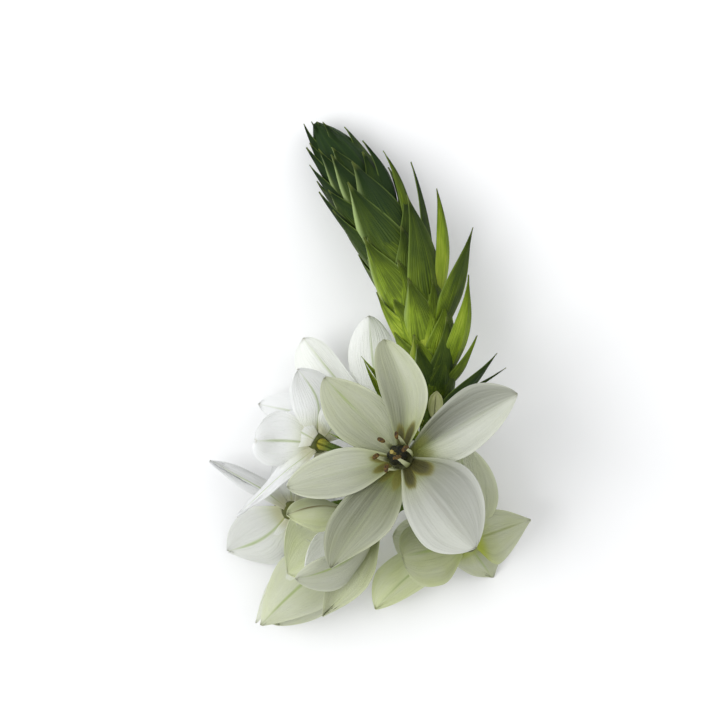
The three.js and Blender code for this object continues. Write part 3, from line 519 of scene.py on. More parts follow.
class Nodes:
    """Short words for building a node tree."""

    def __init__(self, name, values):
        self.material = bpy.data.materials.new(name)
        self.material.use_nodes = True
        self.tree = self.material.node_tree
        self.tree.nodes.clear()
        self.values = values

    def node(self, kind, **settings):
        node = self.tree.nodes.new(kind)
        for key, value in settings.items():
            setattr(node, key, value)
        return node

    def put(self, socket, value):
        if isinstance(value, bpy.types.NodeSocket):
            self.tree.links.new(value, socket)
        elif value is not None:
            socket.default_value = value

    def point_values(self):
        """The mesh's values that this material reads, by name."""
        nodes = {name: self.node("ShaderNodeAttribute", attribute_name=name) for name in self.values}
        return SimpleNamespace(**{name: node.outputs["Fac"] for name, node in nodes.items()})

    def maths(self, operation, a, b=None, clamp=False):
        node = self.node("ShaderNodeMath", operation=operation, use_clamp=clamp)
        self.put(node.inputs[0], a)
        self.put(node.inputs[1], b)
        return node.outputs[0]

    def times(self, a, b, clamp=False):
        return self.maths("MULTIPLY", a, b, clamp)

    def plus(self, a, b, clamp=False):
        return self.maths("ADD", a, b, clamp)

    def minus(self, a, b, clamp=False):
        return self.maths("SUBTRACT", a, b, clamp)

    def linear(self, x, factor, offset):
        return self.plus(self.times(x, factor), offset)

    def swing(self, x, amount):
        """Noise moved to lie round zero, and scaled."""
        return self.times(self.minus(x, 0.5), amount)

    def band(self, x, low, high, start=0.0, end=1.0):
        """A smooth step from start, where x is low, to end, where it is high."""
        node = self.node("ShaderNodeMapRange", interpolation_type="SMOOTHSTEP")
        settings = {"Value": x, "From Min": low, "From Max": high, "To Min": start, "To Max": end}
        for key, value in settings.items():
            self.put(node.inputs[key], value)
        return node.outputs["Result"]

    def vector(self, x, y, z):
        node = self.node("ShaderNodeCombineXYZ")
        for socket, value in zip(node.inputs, (x, y, z)):
            self.put(socket, value)
        return node.outputs[0]

    def noise(self, vector, scale, detail=3.0, roughness=0.55):
        node = self.node("ShaderNodeTexNoise")
        self.put(node.inputs["Vector"], vector)
        node.inputs["Scale"].default_value = scale
        node.inputs["Detail"].default_value = detail
        node.inputs["Roughness"].default_value = roughness
        return node.outputs["Fac"]

    def blade_noise(self, p, across, along, *settings):
        """Noise in a blade's own plane, stretched, and other on every blade."""
        place = self.vector(self.times(p.across, across), self.times(p.along, along), p.seed)
        return self.noise(place, *settings)

    def colour(self, share, a, b):
        node = self.node("ShaderNodeMix", data_type="RGBA", clamp_factor=True)
        self.put(node.inputs["Factor"], share)
        self.put(node.inputs["A"], a if not isinstance(a, tuple) else (*a, 1))
        self.put(node.inputs["B"], b if not isinstance(b, tuple) else (*b, 1))
        return node.outputs["Result"]

    def ramp(self, share, stops):
        node = self.node("ShaderNodeValToRGB")
        self.put(node.inputs[0], share)
        elements = node.color_ramp.elements
        while len(elements) < len(stops):
            elements.new(0.5)
        for element, (place, colour) in zip(elements, stops):
            element.position = place
            element.color = (*colour, 1)
        return node.outputs["Color"]

    def position(self):
        return self.node("ShaderNodeNewGeometry").outputs["Position"]

    def surface(self, colour, roughness, height, bump, specular=0.5, through=None, share=0.0, sheen=0.0):
        """Closes the tree: a bumped surface that lets share of the light shine through."""
        bumped = self.node("ShaderNodeBump")
        bumped.inputs["Distance"].default_value = bump
        bumped.inputs["Strength"].default_value = 1.0
        self.put(bumped.inputs["Height"], height)
        shader = self.node("ShaderNodeBsdfPrincipled")
        self.put(shader.inputs["Base Color"], colour)
        self.put(shader.inputs["Roughness"], roughness)
        shader.inputs["Specular IOR Level"].default_value = specular
        shader.inputs["Sheen Weight"].default_value = sheen
        self.put(shader.inputs["Normal"], bumped.outputs[0])
        result = shader.outputs[0]
        if share:
            glow = self.node("ShaderNodeBsdfTranslucent")
            self.put(glow.inputs["Color"], through)
            self.put(glow.inputs["Normal"], bumped.outputs[0])
            mixed = self.node("ShaderNodeMixShader")
            mixed.inputs[0].default_value = share
            self.put(mixed.inputs[1], result)
            self.put(mixed.inputs[2], glow.outputs[0])
            result = mixed.outputs[0]
        out = self.node("ShaderNodeOutputMaterial")
        self.put(out.inputs["Surface"], result)
        return dict(material=self.material, values=self.values)


WHITE = (0.96, 0.965, 0.97)
GREENISH_WHITE = (0.74, 0.80, 0.42)
DEEP_SHADE = (0.05, 0.055, 0.02)
VEIN = (0.50, 0.54, 0.40)
GREEN_RIB = (0.30, 0.42, 0.05)
BROWN_RIB = (0.13, 0.08, 0.008)
THROAT_GREEN = (0.19, 0.23, 0.025)
MARK_RUST = (0.20, 0.18, 0.018)
MARK_BROWN = (0.020, 0.015, 0.001)
# Crown of a mark and reach to its sides across half a tepal, 0 at its rib and 1 at its margin
MARK_CROWN = 0.43
MARK_REACH = 0.42


def tepal_ground(m, p, side, veins, streaks, cloud):
    """White, greener by the tepal's tint (partly painted, the green-grey of a tepal in shade) and at its
    base, darker by painted shade on each half, more near the base and less at the rims, with fine veins.
    """
    tint = m.times(p.green, m.linear(cloud, 0.7, 0.65))
    base = m.times(m.band(p.along, 0.5, 0.05), m.band(p.blotch, 0.0, 0.5, 0.1, 0.5))
    colour = m.colour(m.plus(tint, base, clamp=True), WHITE, GREENISH_WHITE)
    # Painted shade: the white darkened towards DEEP_SHADE by the tepal's amount for each half, broken up
    # by the streaks
    dark = m.times(p.shade, m.linear(streaks, 0.6, 0.7))
    dark = m.times(dark, m.band(p.along, 0.15, 0.95, 1.1, 0.8))
    dark = m.times(dark, m.band(side, 0.8, 1.0, 1.0, 0.7), clamp=True)
    colour = m.colour(dark, colour, DEEP_SHADE)
    return m.colour(m.band(veins, 0.4, 1.0, 0.0, 0.09), colour, VEIN)


def with_rib(m, p, side, colour):
    """A green line along the middle, stronger outside; brown where the base marks are strongest."""
    rib = m.times(m.band(side, 0.09, 0.0), m.band(p.along, 0.98, 0.6, 0.3, 1.0))
    rib = m.times(rib, m.plus(m.times(p.outer, 0.5), p.share))
    return m.colour(rib, colour, m.colour(m.band(p.blotch, 0.9, 1.0), GREEN_RIB, BROWN_RIB))


def with_throat(m, p, side, inner, colour):
    """The dull green of the base, mostly inside."""
    glow = m.times(m.band(p.along, 0.3, 0.1), m.band(side, 1.0, 0.6))
    glow = m.times(glow, m.band(p.blotch, 0.0, 0.4, 0.0, 0.85))
    return m.colour(m.times(glow, m.linear(inner, 0.8, 0.2)), colour, THROAT_GREEN)


def with_marks(m, p, side, inner, streaks, colour):
    """A rounded brown mark with a ragged edge on each half of the base, inside."""
    lobe = m.maths("DIVIDE", m.minus(side, MARK_CROWN), MARK_REACH)
    lobe = m.minus(m.band(p.blotch, 0.4, 0.8, 0.225, 0.27), m.times(m.times(lobe, lobe), 0.13))
    within = m.minus(lobe, m.plus(p.along, m.swing(streaks, 0.09)))
    mark = m.times(m.band(within, -0.02, 0.035), m.band(side, 0.88, 0.7))
    mark = m.times(m.times(mark, inner), m.band(p.blotch, 0.25, 0.6, 0.0, 0.92))
    depth = m.times(m.band(within, -0.01, 0.09), m.band(p.blotch, 0.35, 1.0, 0.15, 0.95))
    depth = m.times(depth, m.band(streaks, 0.2, 0.7, 0.75, 1.0))
    return m.colour(mark, colour, m.colour(depth, MARK_RUST, MARK_BROWN))


def tepal_material():
    m = Nodes("tepal_white", Piece.VALUES)
    p = m.point_values()
    side = m.maths("ABSOLUTE", p.across)
    inner = m.minus(1.0, p.outer)
    streaks = m.blade_noise(p, 9.0, 0.9, 1.6, 5.0, 0.6)
    cloud = m.blade_noise(p, 1.2, 1.6, 2.2, 2.0)
    veins = m.maths("COSINE", m.times(m.plus(p.across, m.swing(cloud, 0.3)), 62.0))
    veins = m.times(veins, m.band(streaks, 0.35, 0.65, 0.3, 1.0))
    colour = tepal_ground(m, p, side, veins, streaks, cloud)
    colour = with_rib(m, p, side, colour)
    colour = with_throat(m, p, side, inner, colour)
    colour = with_marks(m, p, side, inner, streaks, colour)
    outside_base = m.times(m.band(p.along, 0.24, 0.06), m.times(p.outer, p.blotch))
    colour = m.colour(outside_base, colour, m.colour(p.green, (0.50, 0.42, 0.04), (0.30, 0.42, 0.03)))
    point = m.times(m.band(p.along, 0.975, 1.0), m.band(side, 0.9, 0.2))
    colour = m.colour(m.times(point, 0.4), colour, (0.36, 0.36, 0.16))
    receptacle = m.colour(m.noise(m.position(), 900.0, 3.0), (0.03, 0.04, 0.008), (0.20, 0.22, 0.03))
    colour = m.colour(p.kind, colour, receptacle)
    cells = m.noise(m.position(), 5200.0, 2.0, 0.7)
    height = m.plus(m.times(veins, 0.3), m.times(cells, 0.7))
    height = m.plus(height, m.times(streaks, 1.6))
    height = m.times(height, m.band(p.along, 1.0, 0.8, 0.15, 1.0))
    through = m.colour(0.3, colour, (0.9, 0.93, 0.78))
    roughness = m.band(cells, 0.2, 0.8, 0.38, 0.58)
    return m.surface(colour, roughness, height, 0.00006, 0.4, through, 0.28, 0.1)


# The bracts' greens from the spike's foot to its top, partly their own colour and partly painted: light
# shining through at the foot, shade at the top
BRACT_GREENS = [
    (0.0, (0.50, 0.60, 0.06)),
    (0.18, (0.26, 0.38, 0.02)),
    (0.36, (0.125, 0.185, 0.010)),
    (0.55, (0.058, 0.096, 0.008)),
    (0.9, (0.016, 0.040, 0.008)),
]


def bract_material():
    m = Nodes("stem_green", ("along", "across", "shade", "seed", "kind", "share"))
    p = m.point_values()
    side = m.maths("ABSOLUTE", p.across)
    streaks = m.blade_noise(p, 8.0, 0.8, 2.0, 5.0, 0.62)
    cloud = m.noise(m.vector(p.across, m.times(p.along, 2.0), p.seed), 2.0, 2.0)
    veins = m.maths("COSINE", m.times(m.plus(p.across, m.times(cloud, 0.1)), 60.0))
    tone = m.plus(m.plus(p.share, m.swing(streaks, 0.8)), m.swing(cloud, 0.5))
    tone = m.plus(tone, m.band(p.along, 0.3, 0.95, -0.03, 0.05))
    # Painted light: each bract lighter towards its left margin, the more so where it faces left, towards
    # the key light
    lit = m.times(m.band(p.across, 0.5, -1.0), m.linear(p.shade, 0.7, 0.3))
    tone = m.minus(tone, m.times(lit, 0.34), clamp=True)
    colour = m.ramp(tone, BRACT_GREENS)
    colour = m.colour(m.band(veins, 0.3, 1.0, 0.0, 0.06), colour, (0.16, 0.26, 0.03))
    edge = m.times(m.band(side, 0.86, 0.99), m.band(p.along, 0.1, 0.4))
    colour = m.colour(m.times(edge, 0.5), colour, (0.30, 0.42, 0.09))
    colour = m.colour(m.band(p.along, 0.9, 1.0, 0.0, 0.75), colour, (0.36, 0.44, 0.10))
    # Painted highlight: pale green-white along the left margins, stronger up the spike and on bracts that
    # face left
    painted_highlight = m.times(m.band(p.across, -0.4, -0.93), m.band(p.share, 0.3, 0.6, 0.35, 1.0))
    colour = m.colour(m.times(painted_highlight, p.shade), colour, (0.48, 0.62, 0.24))
    stem = m.colour(m.noise(m.position(), 700.0, 3.0), (0.045, 0.08, 0.012), (0.16, 0.24, 0.04))
    stem = m.colour(m.band(p.along, 0.8, 1.0), stem, (0.40, 0.36, 0.04))
    colour = m.colour(p.kind, colour, stem)
    cells = m.noise(m.position(), 5000.0, 2.0, 0.7)
    height = m.plus(m.times(veins, 0.6), m.times(cells, 0.5))
    height = m.plus(height, streaks)
    roughness = m.band(streaks, 0.3, 0.75, 0.42, 0.6)
    through = m.colour(0.35, colour, (0.40, 0.62, 0.04))
    return m.surface(colour, roughness, height, 0.00006, 0.16, through, 0.2)


def stamen_material():
    """kind is 0 for a filament, 1 for an anther and 2 for the disc they stand on."""
    m = Nodes("stamen_brown", ("along", "kind"))
    p = m.point_values()
    grain = m.noise(m.position(), 3000.0, 3.0, 0.7)
    anther = m.colour(m.band(grain, 0.4, 0.62), (0.028, 0.013, 0.003), (0.15, 0.085, 0.012))
    filament = m.colour(m.band(p.along, 0.0, 0.6), (0.24, 0.27, 0.09), (0.60, 0.63, 0.38))
    colour = m.colour(p.kind, filament, anther)
    # Painted shade: the disc is near-black olive, the shade in the middle of the flower
    plate = m.colour(grain, (0.025, 0.028, 0.005), (0.08, 0.085, 0.018))
    colour = m.colour(m.band(p.kind, 1.4, 1.6), colour, plate)
    through = m.colour(0.3, colour, (0.7, 0.7, 0.4))
    return m.surface(colour, m.band(grain, 0.3, 0.7, 0.5, 0.8), grain, 0.00008, 0.35, through, 0.15)


def pistil_material():
    m = Nodes("pistil_dark", ("kind",))
    p = m.point_values()
    grain = m.noise(m.position(), 2500.0, 3.0)
    ovary = m.colour(m.band(grain, 0.45, 0.7), (0.005, 0.006, 0.002), (0.035, 0.034, 0.008))
    style = m.colour(grain, (0.16, 0.12, 0.02), (0.42, 0.34, 0.10))
    colour = m.colour(p.kind, ovary, style)
    return m.surface(colour, m.band(grain, 0.3, 0.7, 0.4, 0.6), grain, 0.00006, 0.22)


def bud_material():
    m = Nodes("bud_pale", ("across",))
    p = m.point_values()
    lines = m.maths("COSINE", m.times(p.across, 3 * math.pi))
    grain = m.noise(m.position(), 1800.0, 3.0)
    colour = m.colour(m.band(lines, 0.2, 1.0), (0.56, 0.58, 0.28), (0.34, 0.38, 0.11))
    colour = m.colour(m.times(grain, 0.4), colour, (0.62, 0.62, 0.36))
    through = m.colour(0.4, colour, (0.7, 0.8, 0.4))
    return m.surface(colour, m.band(grain, 0.3, 0.7, 0.45, 0.6), lines, 0.00008, 0.4, through, 0.25)


TEPAL, BRACT, STAMEN, PISTIL, BUD_GREEN = (
    tepal_material(), bract_material(), stamen_material(), pistil_material(), bud_material())


# Flowers


def placed(flower):
    """The axis of a flower and the middle of its receptacle."""
    return unit(np.array(flower["axis"], float)), np.array(flower["hub"], float)


def tepal_relief(rng):
    """Height in mm of a tepal's ripples, waved margins, sunk rib and veins."""
    ripple, wave, rib, vein = 0.22, 0.3, 0.16, 0.035
    phase = rng.uniform(0, 2 * math.pi, 6)

    def relief(u, v):
        height = ripple * np.sin(2.2 * math.pi * u + phase[0]) * np.cos(1.1 * math.pi * v + phase[1])
        waves = 2 * math.pi * (1.7 * u + 0.2 * v) + phase[2] + phase[3] * (v > 0)
        height += wave * np.abs(v) ** 3 * np.sin(waves)
        height -= rib * np.exp(-((v / 0.12) ** 2)) * (1 - 0.6 * u)
        height += vein * np.cos(v * 24 + phase[4])
        return height * smooth(0.08, 0.4, u)

    return relief


def add_tepal(piece, flower, number, leaf, rng):
    axis, hub = placed(flower)
    tip, bend, first, second, tint = leaf
    bow, bulge, cup, twist, sway = bend
    # The second and third values of the tint are painted shade on the tepal's first and second half
    green, painted_shade_first, painted_shade_second, marks, rib = tint
    tip = np.array(tip, float)
    radial = unit(tip - axis * tip.dot(axis))
    foot = radial * TEPAL_FOOT_RADIUS + axis * (INNER_TEPAL_LIFT if number % 2 else OUTER_TEPAL_LIFT)
    knee = lerp(foot, tip, 0.42) + axis * bow + radial * bulge
    side = unit(np.cross(axis, radial))

    def half_width(u, v):
        return np.where(v > 0, margin(u, flower["foot"], *first), margin(u, flower["foot"], *second))

    # Painted shade across the tepal: the amount for each half, blended over the rib
    def shade(u, v):
        return lerp(painted_shade_second, painted_shade_first, smooth(-0.32, 0.32, v))

    def rib_darkness(u, v):
        return 0.08 + rib * smooth(0.5, 0.9, u)

    middle = leaf_middle(foot + hub, knee + hub, tip + hub, side, half_width, cup, twist, sway,
                         tepal_relief(rng))
    blade(piece, middle, 44, 26, TEPAL_THICKNESS, green=green, shade=shade, blotch=marks,
          seed=7.3 * rng.random() + number, share=rib_darkness)


def add_tepals(flower, number):
    piece = Piece()
    for i, leaf in enumerate(flower["tepals"]):
        add_tepal(piece, flower, i, leaf, np.random.default_rng(100 * number + i))
    cup = [[0, -CUP_DEPTH], [CUP_FOOT_RADIUS, -CUP_DEPTH], [CUP_RADIUS, -0.4], [CUP_RADIUS, 0.5],
           [CUP_TOP_RADIUS, CUP_TOP], [0, CUP_TOP]]
    lathe(piece, cup, *placed(flower), kind=1.0, flute=0.05, flutes=6)
    piece.finish(flower["name"] + "_perianth", TEPAL, "tepal", flower["name"] + "_tepals")


def add_anther(piece, centre, lying, up, rng):
    """A bean-shaped anther with a slit along it."""
    rows, sides = 14, 16
    slit_depth, slit_width, flatness, bend = 0.45, 0.35, 0.8, 0.25
    t = np.linspace(0, 1, rows + 1)[:, None]
    angle = round_angles(sides)
    length, radius = rng.uniform(*ANTHER_LENGTHS), rng.uniform(*ANTHER_RADII)
    slit = 1 - slit_depth * np.exp(-((np.abs(angle - math.pi / 2) / slit_width) ** 2))
    reach = radius * np.sqrt(np.clip(1 - (2 * t - 1) ** 2, 0, 1)) ** 0.8 * slit
    forward = np.repeat((t - 0.5) * length, sides, axis=1)
    sideways = reach * np.cos(angle)
    upwards = reach * np.sin(angle) * flatness - bend * (2 * t - 1) ** 2
    points = centre + lying * forward[..., None] + np.cross(lying, up) * sideways[..., None] \
        + up * upwards[..., None]
    add_rings(piece, points, kind=1.0)


def add_stamens(flower, number):
    axis, hub = placed(flower)
    first, second = cross_axes(axis)
    radius = flower["plate"]
    low = CUP_TOP + SEAT_GAP
    rng = np.random.default_rng(900 + number)
    piece = Piece()
    rim, high = radius - PLATE_MARGIN, low + PLATE_THICKNESS
    lathe(piece, [[0, low], [rim, low], [rim, high], [0, high]], axis, hub, kind=2.0)

    def half_width(u, v):
        return 0.5 * (FILAMENT_FOOT_WIDTH - FILAMENT_TAPER * u)

    for k, spread in enumerate(flower["spread"]):
        angle = math.radians(360 / FILAMENTS * k + FIRST_FILAMENT_ANGLE)
        radial = first * math.cos(angle) + second * math.sin(angle)
        foot = radial * (radius - 0.45) + axis * (low + 0.1)
        rise = math.sqrt(FILAMENT_LENGTH**2 - (spread - radius) ** 2) * rng.uniform(0.9, 1.0)
        top = radial * spread + axis * (low + rise)
        knee = lerp(foot, top, 0.5) + radial * FILAMENT_BOW
        side = unit(np.cross(axis, radial))
        middle = leaf_middle(foot + hub, knee + hub, top + hub, side, half_width, cup=0.1)
        blade(piece, middle, 14, 6, FILAMENT_THICKNESS)
        across, outward = (0.3, 0.95) if spread > OPEN_SPREAD else (0.8, 0.6)
        lying = unit(across * side + outward * radial + 0.15 * rng.normal(size=3))
        up = unit(axis - lying * axis.dot(lying))
        add_anther(piece, top + hub + up * 0.15, lying, up, rng)
    piece.finish(flower["name"] + "_filaments", STAMEN, "stamen", flower["name"] + "_stamens")


def add_pistil(flower):
    axis, hub = placed(flower)
    low = CUP_TOP + PLATE_THICKNESS + 2 * SEAT_GAP
    radius = flower["plate"] - OVARY_INSET
    top = low + OVARY_HEIGHT
    tip = top + STYLE_LENGTH
    piece = Piece()
    ovary = [[0, low], [0.7 * radius, low], [radius, low + 0.45 * OVARY_HEIGHT],
             [0.75 * radius, low + 0.8 * OVARY_HEIGHT], [0.25, top], [0, top + 0.05]]
    lathe(piece, ovary, axis, hub, sides=42, flute=0.22, flutes=6)
    style = [[0, top - 0.6], [STYLE_RADIUS, top - 0.6], [0.22, top + 0.5 * STYLE_LENGTH],
             [0.24, tip - 0.3], [STIGMA_RADIUS, tip], [0, tip + 0.1]]
    lathe(piece, style, axis, hub, sides=20, flute=0.1, kind=1.0)
    piece.finish(flower["name"] + "_ovary", PISTIL, "pistil", flower["name"] + "_pistil")


# The spike


def spike_radius(share):
    """Reach of the bract tips from the spike's middle: slim at the foot, tapered at the top."""
    s = np.clip(share, 0, SPIKE_END - 0.001)
    swelled = np.sin(math.pi / 2 * np.clip(s / SPIKE_SWELLED, 0, 1))
    filled = smooth(SPIKE_SWELLED, SPIKE_ROUNDING, s)
    body = SPIKE_FOOT_REACH + (SPIKE_LOWER_REACH - SPIKE_FOOT_REACH) * swelled \
        + (SPIKE_FULL_REACH - SPIKE_LOWER_REACH) * filled
    rounded = np.clip(s - SPIKE_ROUNDING, 0, None) / (SPIKE_END - SPIKE_ROUNDING)
    return np.where(s < SPIKE_ROUNDING, body, SPIKE_FULL_REACH * (1 - rounded**2.4) ** 0.65)


def core_radius(share):
    """Radius of the slim body that the bracts grow out of, thinner again near the top."""
    filled = 0.72 + 0.12 * smooth(0.6, 0.9, share)
    return np.maximum(filled * spike_radius(share) - 3 * np.maximum(share - 0.85, 0), 0.5)


def spike_frame(share):
    """Centre, direction, right and front of the spike at a share of its length, past its ends too."""
    held = np.clip(share, 0, 1)
    t = held[..., None]
    a, b, c, d = SPIKE
    along = unit(3 * (1 - t) ** 2 * (b - a) + 6 * t * (1 - t) * (c - b) + 3 * t * t * (d - c))
    centre = bezier(SPIKE, held) + along * (share - held)[..., None] * SPIKE_LENGTH
    right = unit(np.cross(along, np.array([0, 0, 1.0])))
    return centre, along, right, np.cross(right, along)


def beside_spike(share, angle, reach):
    share, angle, reach = np.broadcast_arrays(share, angle, reach)
    centre, _, right, front = spike_frame(np.asarray(share, float))
    return centre + right * (reach * np.cos(angle))[..., None] + front * (reach * np.sin(angle))[..., None]


SHARES = np.arange(0, 1.2, 0.005)
SPIKE_CENTRES, _, SPIKE_RIGHTS, _ = spike_frame(SHARES)


def tip_place(x, y, turn):
    """Share, angle and reach of a tip that is seen at x, y; turn is 0 for one that stays close."""
    k = np.argmin(np.hypot(SPIKE_CENTRES[:, 0] - x, SPIKE_CENTRES[:, 1] - y))
    share, centre, right = SHARES[k], SPIKE_CENTRES[k], SPIKE_RIGHTS[k]
    offset = (x - centre[0]) * right[0] + (y - centre[1]) * right[1]
    if turn:
        angle = math.radians(turn)
        return share, angle, offset / math.cos(angle)
    reach = max(float(spike_radius(share)) + TIP_STANDOFF, abs(offset) + 0.1)
    return share, math.acos(offset / reach), reach


def add_bract(piece, share, angle, reach, width, length, rng, sway=0.0, bow=0.0, face=0.0, tone=0.0):
    """A keeled bract whose tip lies at share, angle and reach; the rest as in STANDING_BRACTS."""
    rise = math.sqrt(max(length**2 - (reach - FOOT_REACH) ** 2, SHORTEST_RISE**2)) / SPIKE_LENGTH
    foot = max(share - rise, LOWEST_FOOT)
    low = float(core_radius(foot)) - ROOT_DEPTH
    beside = float(spike_radius(0.5 * (foot + share))) + 0.6
    knee = low + bow * (reach - low) if bow else min(low + 0.75 * (reach - low), beside)
    phase = rng.uniform(0, 2 * math.pi, 3)
    wave, keel, vein, hollow = 0.12, 0.2, 0.02, 0.5

    def middle(u, v):
        held = np.clip(u, 0, 1)
        outline = bract_outline(held)
        radius = (1 - u) ** 2 * low + 2 * u * (1 - u) * knee + u**2 * reach
        sideways = v * 0.5 * width * outline + sway * np.sin(math.pi * u)
        facing = np.radians(face) * smooth(0.15, 0.7, held)
        height = wave * np.abs(v) ** 3 * np.sin(2.8 * math.pi * u + phase[0] + 2.0 * (v > 0))
        height += keel * np.exp(-((v / 0.15) ** 2)) * (1 - 0.5 * u) + vein * np.cos(v * 20 + phase[1])
        height += hollow * (1 - np.abs(v) ** 1.5) * np.sin(math.pi * held) * (0.5 + 0.5 * outline)
        bent = angle - sideways * np.cos(facing) / np.maximum(radius, 3)
        out = radius + sideways * np.sin(facing) + height
        return beside_spike(lerp(foot, share, u), bent, out)

    def darkness(u, v):
        """It grows up the spike and along each bract; up the spike it is partly painted light, a
        lit-through foot and a shaded top.
        At the spike's foot, among the flowers, painted shade darkens it more.
        """
        down_the_bract = lerp(0.45, 1.0, u) * (share - foot)
        # Painted shade on the bracts at the spike's foot, among the flowers
        painted_shade_among_flowers = 0.46 * smooth(0.22, 0.0, lerp(foot, share, u))
        return foot + down_the_bract + tone + painted_shade_among_flowers

    # How much the bract faces left, towards the key light; it weights the painted light and painted
    # highlight on its left side
    turned_left = float(smooth(0.6, -0.3, math.cos(angle)))
    blade(piece, middle, 26, 12, BRACT_THICKNESS, seed=rng.uniform(0, 40), shade=turned_left,
          share=darkness)


def add_main_stem(piece):
    """From its cut end into the foot of the spike."""
    path = np.array([CUT_END, *STEM_BENDS, bezier(SPIKE, np.array(STEM_TOP_SHARE))])
    t = np.linspace(0, 1, 34)
    chord = np.r_[0, np.cumsum(np.linalg.norm(np.diff(path, axis=0), axis=1))]
    line = np.stack([np.interp(t * chord[-1], chord, path[:, k]) for k in range(3)], 1)
    for _ in range(12):
        line[1:-1] = (line[:-2] + 2 * line[1:-1] + line[2:]) / 4
    tube(piece, line, STEM_RADIUS * (1 + 0.03 * np.sin(t * 23)), sides=30, kind=1.0, seed=1.0)


def add_spike_core(piece):
    rings, sides = 50, 40
    share, angle = np.meshgrid(np.linspace(0, 1, rings), round_angles(sides), indexing="ij")
    points = beside_spike(share, angle, core_radius(share) * 0.96)
    outward = ring_faces(rings, sides)[:, [0, 3, 2, 1]]
    piece.add(points.reshape(-1, 3), outward, along=0.3, share=share.ravel() + 0.25,
              across=np.tile(np.linspace(-1, 1, sides), rings), seed=3.0)


def add_pedicel(piece, flower):
    """From the stem to the flower's receptacle, swelling before it."""
    axis, hub = placed(flower)
    end = hub - axis * (CUP_DEPTH + SEAT_GAP)
    start, heading = (np.array(p, float) for p in flower["stalk"])
    last = end - axis * 0.3 * np.linalg.norm(end - start)
    s = np.linspace(0, 1, 40)
    line = bezier((start, heading, last, end), s)
    steps = np.linalg.norm(np.diff(line, axis=0), axis=1)
    still_to_go = np.r_[np.cumsum(steps[::-1])[::-1], 0]
    swell = PEDICEL_SWELLING * smooth(0.0, SWELLING_LENGTH, SWELLING_LENGTH - still_to_go)
    tube(piece, line, PEDICEL_RADIUS + swell + 0.02 * np.sin(s * 40), kind=1.0, seed=5.0)


def add_standing_bract(piece, rng, x, y, width, length, turn, *bend):
    """Moves the tip until it is seen at x, y."""
    seen = np.array([x, y], float)
    place = tip_place(*seen, turn)
    for _ in range(6):
        seen += np.array([x, y]) - beside_spike(*place)[:2]
        place = tip_place(*seen, turn)
    add_bract(piece, *place, width, length, rng, *bend)


def add_pressed_bract(piece, rng, number):
    """One of the spiral of bracts that fills the spike, smaller towards its top."""
    share = 0.1 + 0.9 * number / (PRESSED_BRACTS - 1)
    width = 10 - 6 * max(0, (share - 0.6) / 0.4)
    length = 19 - 9 * share
    angle = math.radians(GOLDEN_ANGLE * number) + rng.normal(0, 0.06)
    add_bract(piece, share, angle, float(spike_radius(share)) + 0.1, width, length, rng,
              tone=rng.normal(0, 0.05))


def add_stalk_bract(piece, rng, foot, knee, tip, width):
    foot, knee, tip = (np.array(p, float) for p in (foot, knee, tip))
    side = unit(np.cross(tip - foot, np.array([0, 0, -1.0])))

    def half_width(u, v):
        return 0.5 * width * bract_outline(u)

    middle = leaf_middle(foot, knee, tip, side, half_width, cup=0.4)
    # The 0.5 gives these bracts half the painted light and painted highlight on their left side
    blade(piece, middle, 20, 8, BRACT_THICKNESS, seed=rng.uniform(0, 40), share=0.2, shade=0.5)


def add_bud_stalk(piece):
    foot, tip, start = (np.array(BUD[k], float) for k in ("foot", "tip", "stalk"))
    end = foot - unit(tip - foot) * SEAT_GAP
    points = 8
    line = lerp(start, end, np.linspace(0, 1, points)[:, None])
    tube(piece, line, np.full(points, BUD_STALK_RADIUS), kind=1.0, seed=6.0)


def add_stem():
    piece = Piece()
    rng = np.random.default_rng(11)
    add_main_stem(piece)
    add_spike_core(piece)
    for flower in FLOWERS:
        add_pedicel(piece, flower)
    for row in STANDING_BRACTS:
        add_standing_bract(piece, rng, *row)
    for k in range(PRESSED_BRACTS):
        add_pressed_bract(piece, rng, k)
    for row in STALK_BRACTS:
        add_stalk_bract(piece, rng, *row)
    add_bud_stalk(piece)
    piece.finish("stem_and_bracts", BRACT, "stem_and_bract", "flower_stem")


def add_bud():
    foot, tip = (np.array(BUD[k], float) for k in ("foot", "tip"))
    length = np.linalg.norm(tip - foot)
    width = BUD["width"]
    piece = Piece()
    lathe(piece, [[0, 0], [0.3 * width, 0], [0.5 * width, 0.4 * length], [0.42 * width, 0.75 * length],
                  [0.1, length], [0, length]], unit(tip - foot), foot, sides=36, flute=0.06, flutes=6)
    piece.finish("bud_scales", BUD_GREEN, "bud", "young_bud")


for number, flower in enumerate(FLOWERS):
    add_tepals(flower, number)
    add_stamens(flower, number)
    add_pistil(flower)
add_stem()
add_bud()


# Floor, light and camera. Places in metres

FLOOR_REACH = 1.2
LIGHT_TARGET = (0, 0, 0.02)
SKY_COLOUR = (0.97, 0.98, 1.0, 1)
SKY_STRENGTH = 0.75
# The photograph's middle in the tables' plane, its width in pixels and what one of them spans in mm
VIEW_MIDDLE = np.array([-1.7, 2.04, 0])
VIEW_PIXELS = 720
MM_PER_PIXEL = 0.17
CAMERA_DISTANCE = 1.5
FOCUS_HEIGHT = 0.02
SENSOR_WIDTH = 36


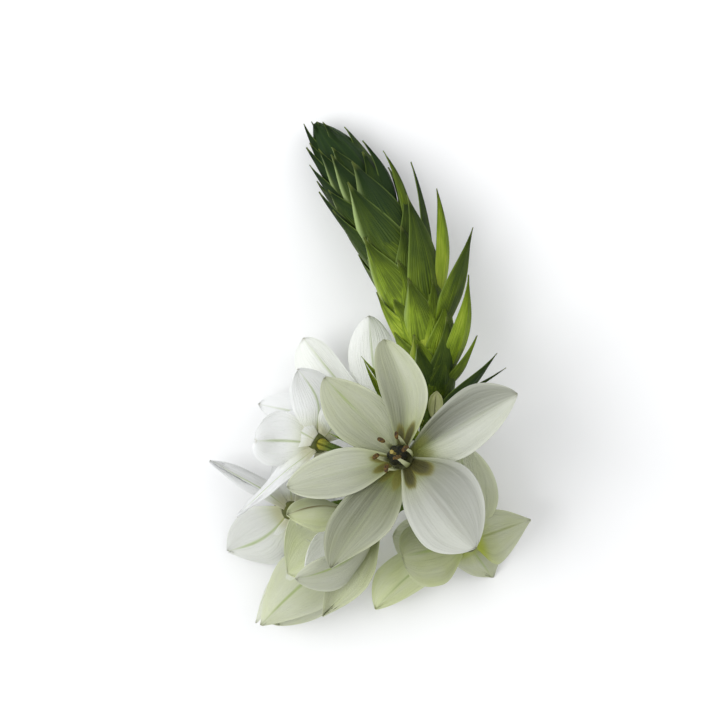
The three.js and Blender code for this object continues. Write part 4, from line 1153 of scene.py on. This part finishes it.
def add_floor():
    mesh = bpy.data.meshes.new("floor")
    corners = [(x * FLOOR_REACH, y * FLOOR_REACH, 0) for x, y in ((-1, -1), (1, -1), (1, 1), (-1, 1))]
    mesh.from_pydata(corners, [], [(0, 1, 2, 3)])
    m = Nodes("floor_paper", ())
    grain = m.noise(m.position(), 60.0, 2.0)
    colour = m.colour(grain, (0.93, 0.93, 0.93), (0.96, 0.96, 0.96))
    floor = bpy.data.objects.new("floor", mesh)
    mesh.materials.append(m.surface(colour, 0.9, grain, 0.00002, 0.1)["material"])
    bpy.context.scene.collection.objects.link(floor)


def add_light(name, place, size, power, colour):
    lamp = bpy.data.lights.new(name, "AREA")
    lamp.shape = "DISK"
    lamp.size = size
    lamp.energy = power
    lamp.color = colour
    obj = bpy.data.objects.new(name, lamp)
    obj.location = place
    direction = Vector(np.array(LIGHT_TARGET) - np.array(place))
    obj.rotation_euler = direction.to_track_quat("-Z", "Y").to_euler()
    bpy.context.scene.collection.objects.link(obj)


def add_sky():
    world = bpy.data.worlds.new("soft_sky")
    world.use_nodes = True
    background = world.node_tree.nodes["Background"]
    background.inputs[0].default_value = SKY_COLOUR
    background.inputs[1].default_value = SKY_STRENGTH
    bpy.context.scene.world = world


def add_camera():
    middle = (VIEW_MIDDLE - HEAD_MIDDLE) * MM
    data = bpy.data.cameras.new("camera")
    data.sensor_width = SENSOR_WIDTH
    data.lens = SENSOR_WIDTH * CAMERA_DISTANCE / (MM_PER_PIXEL * VIEW_PIXELS * MM)
    data.clip_start, data.clip_end = 0.1, 10
    camera = bpy.data.objects.new("camera", data)
    camera.location = (middle[0], middle[1], FOCUS_HEIGHT + CAMERA_DISTANCE)
    bpy.context.scene.collection.objects.link(camera)
    bpy.context.scene.camera = camera


add_floor()
add_light("key", (-0.6, -0.05, 0.85), 0.8, 5.5, (0.98, 0.99, 1.0))
add_light("fill", (0.5, 0.35, 0.8), 0.9, 1.6, (1.0, 0.99, 0.97))
add_camera()
add_sky()
bpy.context.scene.view_settings.view_transform = "Standard"
